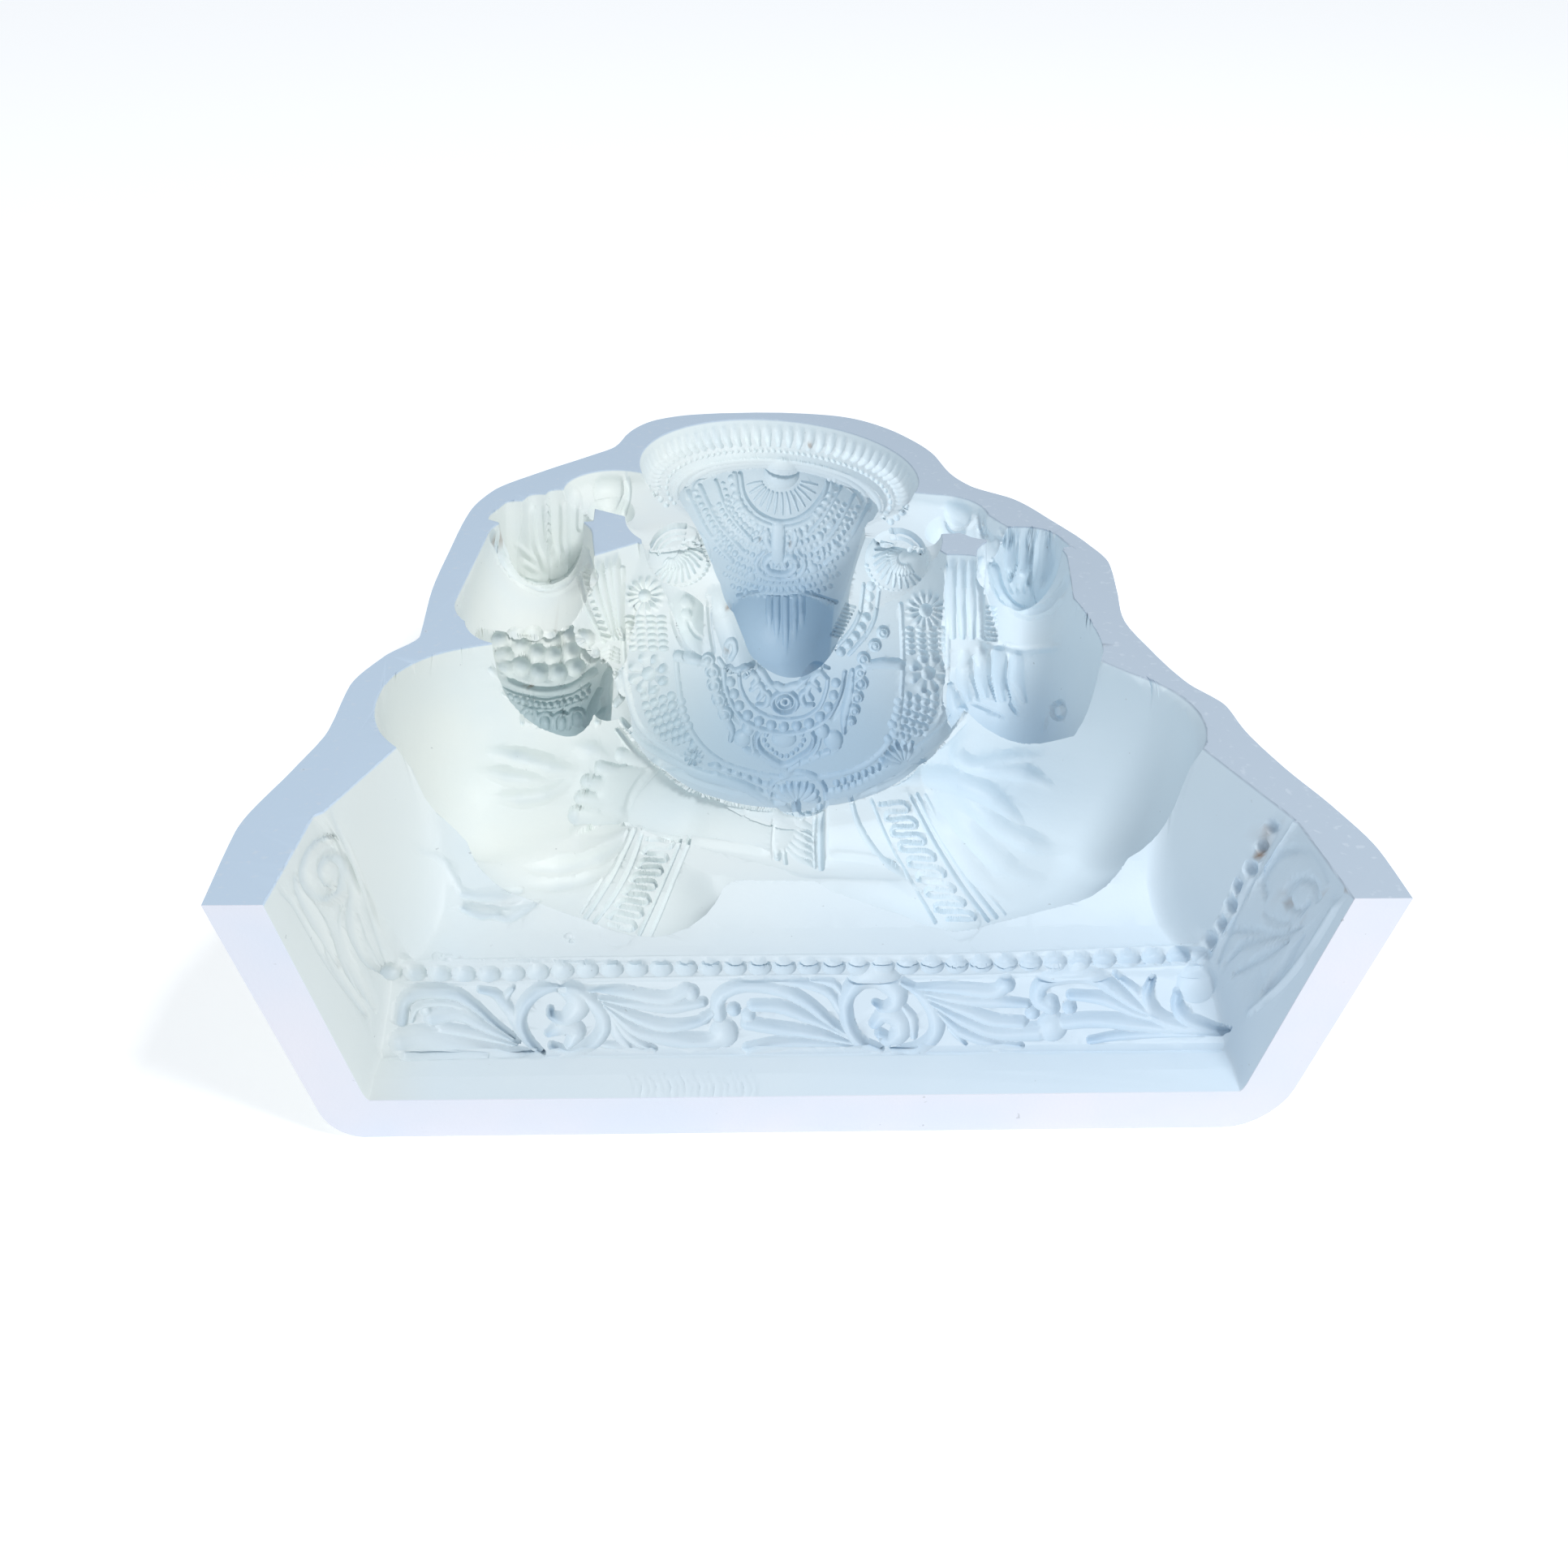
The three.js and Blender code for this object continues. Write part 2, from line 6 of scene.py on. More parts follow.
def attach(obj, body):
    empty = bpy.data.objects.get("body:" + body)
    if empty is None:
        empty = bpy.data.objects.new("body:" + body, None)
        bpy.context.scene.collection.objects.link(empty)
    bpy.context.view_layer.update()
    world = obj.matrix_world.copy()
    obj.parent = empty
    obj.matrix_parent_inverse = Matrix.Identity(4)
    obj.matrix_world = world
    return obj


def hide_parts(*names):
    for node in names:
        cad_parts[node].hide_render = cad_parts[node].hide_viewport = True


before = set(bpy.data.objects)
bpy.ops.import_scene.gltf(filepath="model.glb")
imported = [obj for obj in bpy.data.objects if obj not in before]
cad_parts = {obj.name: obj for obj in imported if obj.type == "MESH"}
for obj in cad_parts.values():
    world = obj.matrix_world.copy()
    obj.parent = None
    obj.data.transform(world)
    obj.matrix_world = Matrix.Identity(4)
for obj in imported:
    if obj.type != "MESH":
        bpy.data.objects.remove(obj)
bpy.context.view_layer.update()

# Where the mould is looked at from: over the open base end, 32 degrees down.
# The carving is laid out on the same line of sight, as a carver sees it from the open end.
# Sizes are millimetres from the middle of the base edge, with Z measured down from the parting face.
EYE = np.array([-25.2, -337.9, 243.9])
DOWN, ASIDE, TILT = np.radians([32.0, 2.9, -1.36])
SHEET = 1932
FOCAL = 2202.0
ahead = np.array([np.sin(ASIDE) * np.cos(DOWN), np.cos(ASIDE) * np.cos(DOWN), -np.sin(DOWN)])
level = np.array([np.cos(ASIDE), -np.sin(ASIDE), 0.0])
below = np.cross(ahead, level)
across = level * np.cos(TILT) + below * np.sin(TILT)
under = -level * np.sin(TILT) + below * np.cos(TILT)


# Plan of the rubber block: a wide cut base, sides that step in with the figure, a round crown.
# It was poured in a frame that followed the figure at an even margin, so its two sides differ.
LENGTH, HEIGHT = 322.0, 72.0
LEFT_EDGE = [(0, 141.5), (30, 140.5), (60, 132), (80, 126.5), (104, 125), (122, 118), (135, 109.5),
             (162, 110), (195, 108), (226, 105), (244, 99), (262, 83), (276, 68), (286, 58.5), (300, 54),
             (311, 47), (318, 35), (321, 20), (322, 6)]
RIGHT_EDGE = [(0, 141.5), (20, 140), (40, 134.5), (60, 127), (80, 121.5), (92, 120), (106, 112),
              (125, 106), (147, 101.7), (165, 103.5), (186, 105), (202, 100.5), (220, 92), (238, 82),
              (250, 68), (262, 62), (280, 58), (298, 49), (311, 38), (318, 27), (321, 14), (322, 4)]


def through(points, x):
    """Smooth curve through the points that never overshoots: cubic spans with harmonic mean slopes."""
    px, py = np.array(points, float).T
    h, rise = np.diff(px), np.diff(py) / np.diff(px)
    m = np.zeros(len(px))
    m[0], m[-1] = rise[0], rise[-1]
    same = rise[:-1] * rise[1:] > 0
    w1, w2 = 2 * h[1:] + h[:-1], h[1:] + 2 * h[:-1]
    m[1:-1][same] = ((w1 + w2)[same]
                     / (w1[same] / rise[:-1][same] + w2[same] / rise[1:][same]))
    x = np.clip(x, px[0], px[-1])
    i = np.clip(np.searchsorted(px, x) - 1, 0, len(px) - 2)
    t = (x - px[i]) / h[i]
    return ((1 + 2 * t) * (1 - t) ** 2 * py[i] + t * (1 - t) ** 2 * h[i] * m[i]
            + t * t * (3 - 2 * t) * py[i + 1] + t * t * (t - 1) * h[i] * m[i + 1])


# Half-hexagonal plinth of the figure: a plain foot, a step, the sunk scroll panel, then the bead edge.
# Its three faces meet at sloping corners, so both ends of the hollow narrow towards the floor.
# Like every form of the figure it is a depth below the parting face, and widens towards the rim.
def soft_max(a, b, k):
    """The larger depth, with a crease of width k rounded off."""
    h = np.clip(0.5 + 0.5 * (a - b) / k, 0, 1)
    return b + (a - b) * h + k * h * (1 - h)


def soft_min(a, b, k):
    """The smaller depth, with an edge of width k rounded off."""
    return -soft_max(-a, -b, k)


def plinth(x, y):
    """Front profile by y, cut by side walls whose slope eases from 3.45 to 2.6."""
    front = np.interp(y, [0, 6, 11, 12.4, 13.2, 28.5, 30, 35],
                      [60, 57.5, 56.5, 56.8, 55, 47, 46, 45.5])
    side = (127.5 - 0.12 * y - np.abs(x)) * (3.45 - 0.85 * np.clip(y / 40, 0, 1))
    d = soft_min(front, side, 3.5)
    end = 35.5 - 0.02 * x
    return np.where(y < end, d, d - (y - end) * 3)


# Rounded cushion that fills the plinth's top, and bulges out in front of the crossed shins.
# Its profile is full, and its ends are rounded off into the side walls.
# Where a form doesn't reach, its depth is far above the parting face, so that it never counts.
NO_FORM = -60


def cushion(x, y):
    """Profile by y, cut by sloping ends."""
    front = np.interp(y, [30, 34, 38, 43, 49, 54, 59, 63, 67, 70, 74],
                      [44, 45, 45.2, 45, 44, 41, 37, 32, 25, 17, 0])
    side = (120.7 - (y - 40) * 0.43 - np.abs(x)) * 2.6
    return soft_min(front, np.where(y < 34, NO_FORM, side), 9)


# Crossed legs in loose cloth: a thigh and a shin each side, and the lap between them.
# They are full rounded rolls that run into one another, as cloth does over a bent knee.
def swell(x, y, cx, cy, rx, ry, top, turn=0.0, plan=2.0, dome=2.0, wall=2.5):
    """Rounded swelling on a superellipse plan: top * sqrt(1 - r ** dome), and a straight wall outside."""
    c, s = np.cos(np.radians(turn)), np.sin(np.radians(turn))
    u = np.abs((x - cx) * c + (y - cy) * s) / rx
    v = np.abs((y - cy) * c - (x - cx) * s) / ry
    r = (u ** plan + v ** plan) ** (1 / plan)
    return np.where(r < 1, top * np.sqrt(np.clip(1 - r ** dome, 0, 1)), (1 - r) * min(rx, ry) * wall)


def limb(x, y, a, b, ra, rb, da, db, flat=1.0, wall=2.5):
    """Tapered round limb from a to b: radii ra to rb, front depths da to db, falling off as a circle."""
    dx, dy = b[0] - a[0], b[1] - a[1]
    t = np.clip(((x - a[0]) * dx + (y - a[1]) * dy) / (dx * dx + dy * dy), 0, 1)
    r, front = ra + (rb - ra) * t, da + (db - da) * t
    q = np.hypot(x - a[0] - t * dx, y - a[1] - t * dy) / r
    return np.where(q < 1, front - r * flat * (1 - np.sqrt(np.clip(1 - q * q, 0, 1))),
                    front - r * flat - (q - 1) * r * wall)


def legs(x, y):
    """Three limbs a side, blended, and a wide flat swelling under the lap."""
    l = limb(x, y, (-86, 99), (-58, 109), 30, 30, 49, 50, 1.63)
    l = soft_max(l, limb(x, y, (-84, 93), (-62, 82), 29, 29, 48, 52, 1.4), 6)
    l = soft_max(l, limb(x, y, (-68, 78), (-41, 64.5), 25, 21, 52, 54.5), 6)
    r = limb(x, y, (80.5, 86), (60, 107), 29.5, 30, 49, 50, 1.63)
    r = soft_max(r, limb(x, y, (80, 84), (62, 78), 28, 29, 48, 52, 1.4), 6)
    r = soft_max(r, limb(x, y, (68, 75), (42, 65.5), 25, 20.5, 52, 54), 6)
    r = soft_max(r, limb(x, y, (56, 90), (6, 86), 24, 14, 54, 50), 9)
    r = soft_max(r, limb(x, y, (42, 62), (12, 66), 15, 9, 53, 46), 4)
    l = soft_max(l, limb(x, y, (-40, 62), (-22, 68), 17, 8, 53, 46), 4)
    lap = swell(x, y, 0, 89, 70, 34.5, 45, plan=2.5, dome=6)
    return soft_max(soft_max(l, r, 3), lap, 4)


# Foot that lies over the other leg: ankle and sole, bare from the hem on.
# The toes are carved on it later, with the rest of the fine work of the lap.
def foot(x, y):
    """Ankle and sole as two limbs."""
    d = limb(x, y, (6, 86), (-30, 102), 14, 13.5, 50, 50)
    d = soft_max(d, limb(x, y, (-34, 104), (-56, 113), 13, 10, 50, 47), 3)
    return d


# Round belly under a broad chest, and the slope of the shoulders up to the rim.
# It is the widest hollow of the mould, nearly upright at its sides, with a notch for the belt's clasp.
def body(x, y):
    """Two superellipse swellings blended, a notch for the clasp, and a shallow one for the shoulders."""
    belly = swell(x, y, 0, 148, 59, 54, 57, plan=2.15, dome=2.8)
    chest = swell(x, y, 0, 164, 57, 47, 50, plan=3.2, dome=3.2)
    clasp = swell(x, y, 3, 112.5, 10, 8.5, 55, plan=1.7, dome=8, wall=5)
    shoulders = swell(x, y, 2, 205, 48, 24, 28, plan=2.6, dome=3)
    return np.maximum(np.maximum(soft_max(belly, chest, 8), clasp), shoulders)


# Round halo behind the head: a fluted outer rim and stepped rings inside it.
# It is flat, so it lies in shallow steps just under the parting face.
HALO_X, HALO_Y = 0.5, 265


def halo(x, y):
    """Steps by the distance from its middle."""
    r = np.hypot(x - HALO_X, y - HALO_Y)
    return np.interp(r, [0, 38, 39, 41.5, 42.5, 46, 48.5, 49.8, 50.5, 90.5],
                     [11, 11, 9, 9, 7.6, 6.5, 3.2, 0, -1, -80])


# Tall crown over the face: it narrows to the trunk below and to a knob above.
# Its sides are hollowed as half ellipses, and the trunk under it is the deepest place of the mould.
def crown(x, y):
    """Half-ellipse sections: half width, rim depth and bulge, each by y."""
    half = np.interp(y, [196, 205, 212, 222, 232, 240, 250, 258, 264, 270, 276, 282, 288, 291, 293, 294],
                     [10, 14, 17, 23.5, 27, 30, 33.5, 35.5, 35.5, 33.5, 30, 25, 18, 12, 6, 0])
    rim = np.interp(y, [205, 225, 250, 294], [22, 16, 9, 9])
    bulge = np.interp(y, [200, 235, 262, 275, 284, 292, 294], [36, 35, 31, 26, 18, 5, 0])
    q = 1 - ((x - 0.5) / np.maximum(half, 0.1)) ** 2
    d = np.where(q > 0, rim + bulge * np.sqrt(np.clip(q, 0, None)), rim - (np.abs(x) - half) * 3)
    d = np.where(y > 294, NO_FORM, d)
    return np.where(y < 200, d - (200 - y) * 3, d)


def trunk(x, y):
    """Round limb straight down from the face, deeper than all else, and the two lobes of its curled tip."""
    d = limb(x, y, (1.5, 232), (3.5, 205.5), 18.5, 13.8, 62, 62, 1.3, 3)
    d = np.maximum(d, limb(x, y, (-19.5, 212), (-14, 196.5), 7, 7.5, 33, 46, 2.2))
    return np.maximum(d, limb(x, y, (-32, 204), (-28, 192), 6, 6, 35, 42, 2.2))


# Four arms: two raised hands at the rim, a sleeve each side, a bowl of sweets and an open palm.
# The raised hands lie close to the parting face; the bowl and the palm are deep round wells.
def fingers(x, y, side_by_side, depth, heel):
    """Grooves given as middle, tip and half width; each falls from its tip at a slope of 2.6."""
    d = np.full_like(x, NO_FORM)
    for fx, tip, w in side_by_side:
        u = np.abs(x - fx) / w
        f = np.minimum((tip - y) * 2.6, depth) - 0.25 * depth * (1 - np.sqrt(np.clip(1 - u * u, 0, 1)))
        f = np.where(u < 1, f, f - (u - 1) * 30)
        d = np.maximum(d, np.where(y < tip - 30, NO_FORM, f))
    return np.where(y < heel, NO_FORM, d)


def left_arms(x, y):
    """Upper arm, raised hand, what it holds, sleeve and the bowl in front."""
    d = limb(x, y, (-80, 158), (-80, 207), 21, 17, 26, 19.5, 1.1)
    d = np.maximum(d, fingers(x, y, [(-89.5, 236, 4.8), (-82.5, 242, 4.6), (-76, 246, 4.4), (-70, 248, 3.8)],
                              33, 213 + 0.02 * (x + 80) ** 2))
    d = soft_max(d, swell(x, y, -79.5, 222, 13.5, 13.5, 32, plan=2.4, dome=5, wall=4), 1)
    d = soft_max(d, swell(x, y, -58.5, 246, 9, 13, 17, dome=2.6), 2)
    d = soft_max(d, limb(x, y, (-57, 246), (-26, 231), 17, 21, 9.5, 9, 0.42), 2)
    d = soft_max(d, swell(x, y, -35, 222, 17.5, 24, 10), 2)
    sleeve = swell(x, y, -56, 176, 15, 28, 28, plan=2.6, dome=3)
    d = soft_max(d, np.minimum(sleeve, (189 + np.maximum(x + 65, -4) * 0.75 - y) * 3), 2)
    d = np.maximum(d, swell(x, y, -76, 154.5, 22, 26, 54, plan=2.8, dome=9, wall=4))
    d = soft_max(d, swell(x, y, -54, 146, 12, 16, 38, plan=2.4, dome=3), 3)
    return d


def right_arms(x, y):
    """Upper arm, raised hand, what it holds, sleeve and the open palm in front."""
    d = limb(x, y, (74, 152), (77.5, 192), 13.5, 16, 26, 19.5, 2)
    d = np.maximum(d, fingers(x, y, [(75.5, 209, 4), (81.5, 214, 3.8), (87.5, 211, 4.4)],
                              32, 195 + 0.02 * (x - 80) ** 2))
    d = soft_max(d, swell(x, y, 80, 202.5, 12.5, 12.5, 31, plan=2.4, dome=5, wall=4), 1)
    d = soft_max(d, swell(x, y, 57, 227, 8, 12, 14, dome=2.6), 2)
    d = soft_max(d, limb(x, y, (63, 220), (68, 213), 8, 6, 12, 12), 2)
    d = soft_max(d, limb(x, y, (54, 226), (26, 228), 16, 21, 9, 9, 0.42), 2)
    d = soft_max(d, swell(x, y, 38, 208, 15, 24, 9), 2)
    d = soft_max(d, swell(x, y, 56, 166, 15, 27, 28, plan=2.6, dome=3), 2)
    palm = swell(x, y, 68, 142, 23.5, 31, 46, turn=5, plan=3.2, dome=2.8)
    return soft_max(d, np.minimum(palm, (0.407 * x + 0.914 * y - 137) * 4), 5)


# Whole hollow of the mould: at each point the deepest of the forms above.
# The head, crown and halo lean a little to the left, as in the figure that was cast.
LEAN = 0.15


def ease(a, b, x):
    """Smooth step from 0 at a to 1 at b."""
    t = np.clip((x - a) / (b - a), 0, 1)
    return t * t * (3 - 2 * t)


def hollow(x, y):
    """Depth of the hollow: the deepest form at each point. The head leans a little to the left."""
    lean = y + LEAN * x * ease(215, 262, y)
    d = np.maximum(plinth(x, y), cushion(x, y))
    for form in (legs, foot, body, left_arms, right_arms):
        d = np.maximum(d, form(x, y))
    for form in (halo, crown, trunk):
        d = np.maximum(d, form(x, lean))
    return soft_max(d, 0, 0.35) * (d > -0.35)


# Skin of the hollow and the parting face, as one fine grid from the left edge to the right.
# Columns stand closer over the chest. Rows stand closer on steep walls and over fine carving.
COLUMNS, ROWS = ((940, 1250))


def spread(density, n):
    """Places from 0 to 1 so that each step holds the same share of the density."""
    total = np.concatenate([[0], np.cumsum((density[1:] + density[:-1]) / 2)])
    return np.interp(np.linspace(0, 1, n), total / total[-1], np.linspace(0, 1, len(density)))


def plan_x(share, y):
    """x at a share of the block's width, from the left edge to the right."""
    left, right = -through(LEFT_EDGE, y), through(RIGHT_EDGE, y)
    return left + (right - left) * share


share = np.linspace(0, 1, 400)
columns = spread(1 + 0.9 * ease(0.2, 0.3, share) * ease(0.8, 0.7, share), COLUMNS)
guide = np.linspace(0, LENGTH, 1600)
coarse = np.linspace(0, 1, COLUMNS // 3)
gx = plan_x(coarse[None, :], guide[:, None])
gd = hollow(gx, np.broadcast_to(guide[:, None], gx.shape).copy())
slope = np.abs(np.gradient(gd, guide, axis=0))
fine = 1 + 0.8 * ease(9, 13, guide) * ease(38, 33, guide) + 0.7 * ease(125, 140, guide) * ease(300, 285,
                                                                                               guide)
density = np.sqrt(1 + np.minimum(slope, 6) ** 2) * fine[:, None]
rows = np.stack([spread(density[:, i], ROWS) for i in range(len(coarse))], 1) * LENGTH
at = columns * (len(coarse) - 1)
lo = np.clip(at.astype(int), 0, len(coarse) - 2)
y = rows[:, lo] + (rows[:, lo + 1] - rows[:, lo]) * (at - lo)
x = plan_x(columns[None, :], y)
z = -hollow(x, y)

base = np.stack([x, y, z], -1)
down_rows = np.gradient(base, axis=0)
along_columns = np.gradient(base, axis=1)
out = np.cross(along_columns, down_rows)
out /= np.linalg.norm(out, axis=-1, keepdims=True)

# The carving's drawing: where each point of the skin shows from the open end, and which points show.
# A point shows if no nearer wall on its own line of sight stands higher, as a skyline would.
seen_from = base - EYE
forward = seen_from @ ahead
p = SHEET / 2 + FOCAL * (seen_from @ across) / forward
q = SHEET / 2 + FOCAL * (seen_from @ under) / forward
heading = np.arctan2(seen_from[..., 0], seen_from[..., 1])
reach = np.hypot(seen_from[..., 0], seen_from[..., 1])
fan = np.linspace(heading.min(), heading.max(), COLUMNS)
paces = np.linspace(reach.min(), reach.max(), ROWS)
walk_x = EYE[0] + paces[:, None] * np.sin(fan)
walk_y = EYE[1] + paces[:, None] * np.cos(fan)
ground = np.where(walk_y < 0, -HEIGHT, -hollow(walk_x, walk_y.clip(0, LENGTH)))
skyline = np.maximum.accumulate((ground - EYE[2]) / paces[:, None], axis=0)
i = (heading - fan[0]) / (fan[1] - fan[0])
j = np.clip((reach - paces[0]) / (paces[1] - paces[0]) - 1, 0, ROWS - 2)
i0, j0 = np.clip(i.astype(int), 0, COLUMNS - 2), j.astype(int)
i, j = i - i0, j - j0
before = ((skyline[j0, i0] * (1 - i) + skyline[j0, i0 + 1] * i) * (1 - j)
          + (skyline[j0 + 1, i0] * (1 - i) + skyline[j0 + 1, i0 + 1] * i) * j)
shown = seen_from[..., 2] / reach >= before - 0.0008
relief = np.zeros_like(z)

# Scroll panel of the plinth: three runs of curled leaves, each with a volute between its two fans.
# Every leaf is a rounded fold that starts thin at the stem and ends in a rolled tip.
# Heights are millimetres that the figure stands out, so the rubber is that much deeper there.
def curve(points):
    """Catmull-Rom curve through the points, each span in eight equal steps."""
    c = np.array(points, float)
    c = np.vstack([2 * c[0] - c[1], c, 2 * c[-1] - c[-2]])
    t = np.linspace(0, 1, 8, endpoint=False)[:, None, None]
    a, b, d, e = c[:-3], c[1:-2], c[2:-1], c[3:]
    spans = 0.5 * (2 * b + (d - a) * t + (2 * a - 5 * b + 4 * d - e) * t ** 2
                   + (3 * b - a - 3 * d + e) * t ** 3)
    return np.vstack([spans.transpose(1, 0, 2).reshape(-1, 2), c[-2]])


def window(lo, hi):
    """Points of the skin that show inside a rectangle of the drawing."""
    return np.nonzero((p > lo[0]) & (p < hi[0]) & (q > lo[1]) & (q < hi[1]) & shown)


def along(points, reach):
    """Points near a curve, their length along it, their offset across it, and its whole length."""
    c = curve(points)
    k = window(c.min(0) - reach, c.max(0) + reach)
    u, v = p[k], q[k]
    best, s, t, start = np.full(u.shape, 1e9), np.zeros(u.shape), np.zeros(u.shape), 0.0
    for (ax, ay), (dx, dy) in zip(c[:-1], np.diff(c, axis=0)):
        size = np.hypot(dx, dy) + 1e-9
        f = np.clip(((u - ax) * dx + (v - ay) * dy) / size ** 2, 0, 1)
        ex, ey = u - ax - f * dx, v - ay - f * dy
        gap = np.hypot(ex, ey)
        near = gap < best
        best = np.where(near, gap, best)
        s = np.where(near, start + f * size, s)
        t = np.where(near, np.where(dx * ey - dy * ex < 0, -gap, gap), t)
        start += size
    inside = best < reach
    return tuple(i[inside] for i in k), s[inside], t[inside], start


def raise_up(k, height):
    """The figure stands out by at least this height there."""
    relief[k] = np.maximum(relief[k], height)


def ridge(points, width, height, crown=0.5):
    """Ridge along a curve: height * (1 - (offset / half width) ** 2) ** crown; both may be lists."""
    w = np.atleast_1d(np.array(width, float))
    k, s, t, length = along(points, w.max())
    half = np.interp(s / length, np.linspace(0, 1, len(w)), w)
    full = np.interp(s / length, np.linspace(0, 1, len(np.atleast_1d(height))), np.atleast_1d(height))
    raise_up(k, full * np.clip(1 - (t / half) ** 2, 0, 1) ** crown)


def boss(at, radius, height, squash=1.0, petals=0, hub=0.0, turn=0.0, round_by=0.5):
    """Round boss; with petals, its radius waves round the rim, and a hub stands in the middle."""
    a, b = np.array(at, float), np.array([1, squash]) * radius
    k = window(a - b * 1.3, a + b * 1.3)
    du, dv = (p[k] - a[0]), (q[k] - a[1]) / squash
    r = np.hypot(du, dv) / radius
    h = np.clip(1 - r * r, 0, 1) ** round_by
    if petals:
        w = np.cos(petals * (np.arctan2(dv, du) + turn))
        leaf = np.clip(1 - np.abs(r - 0.66) / 0.36, 0, 1) ** 0.5
        h = leaf * (0.55 + 0.45 * w) * np.clip(3 * (1.02 - r), 0, 1)
        h = np.maximum(h, hub * np.clip(1 - (r / 0.3) ** 2, 0, 1) ** 0.5)
    raise_up(k, height * h)


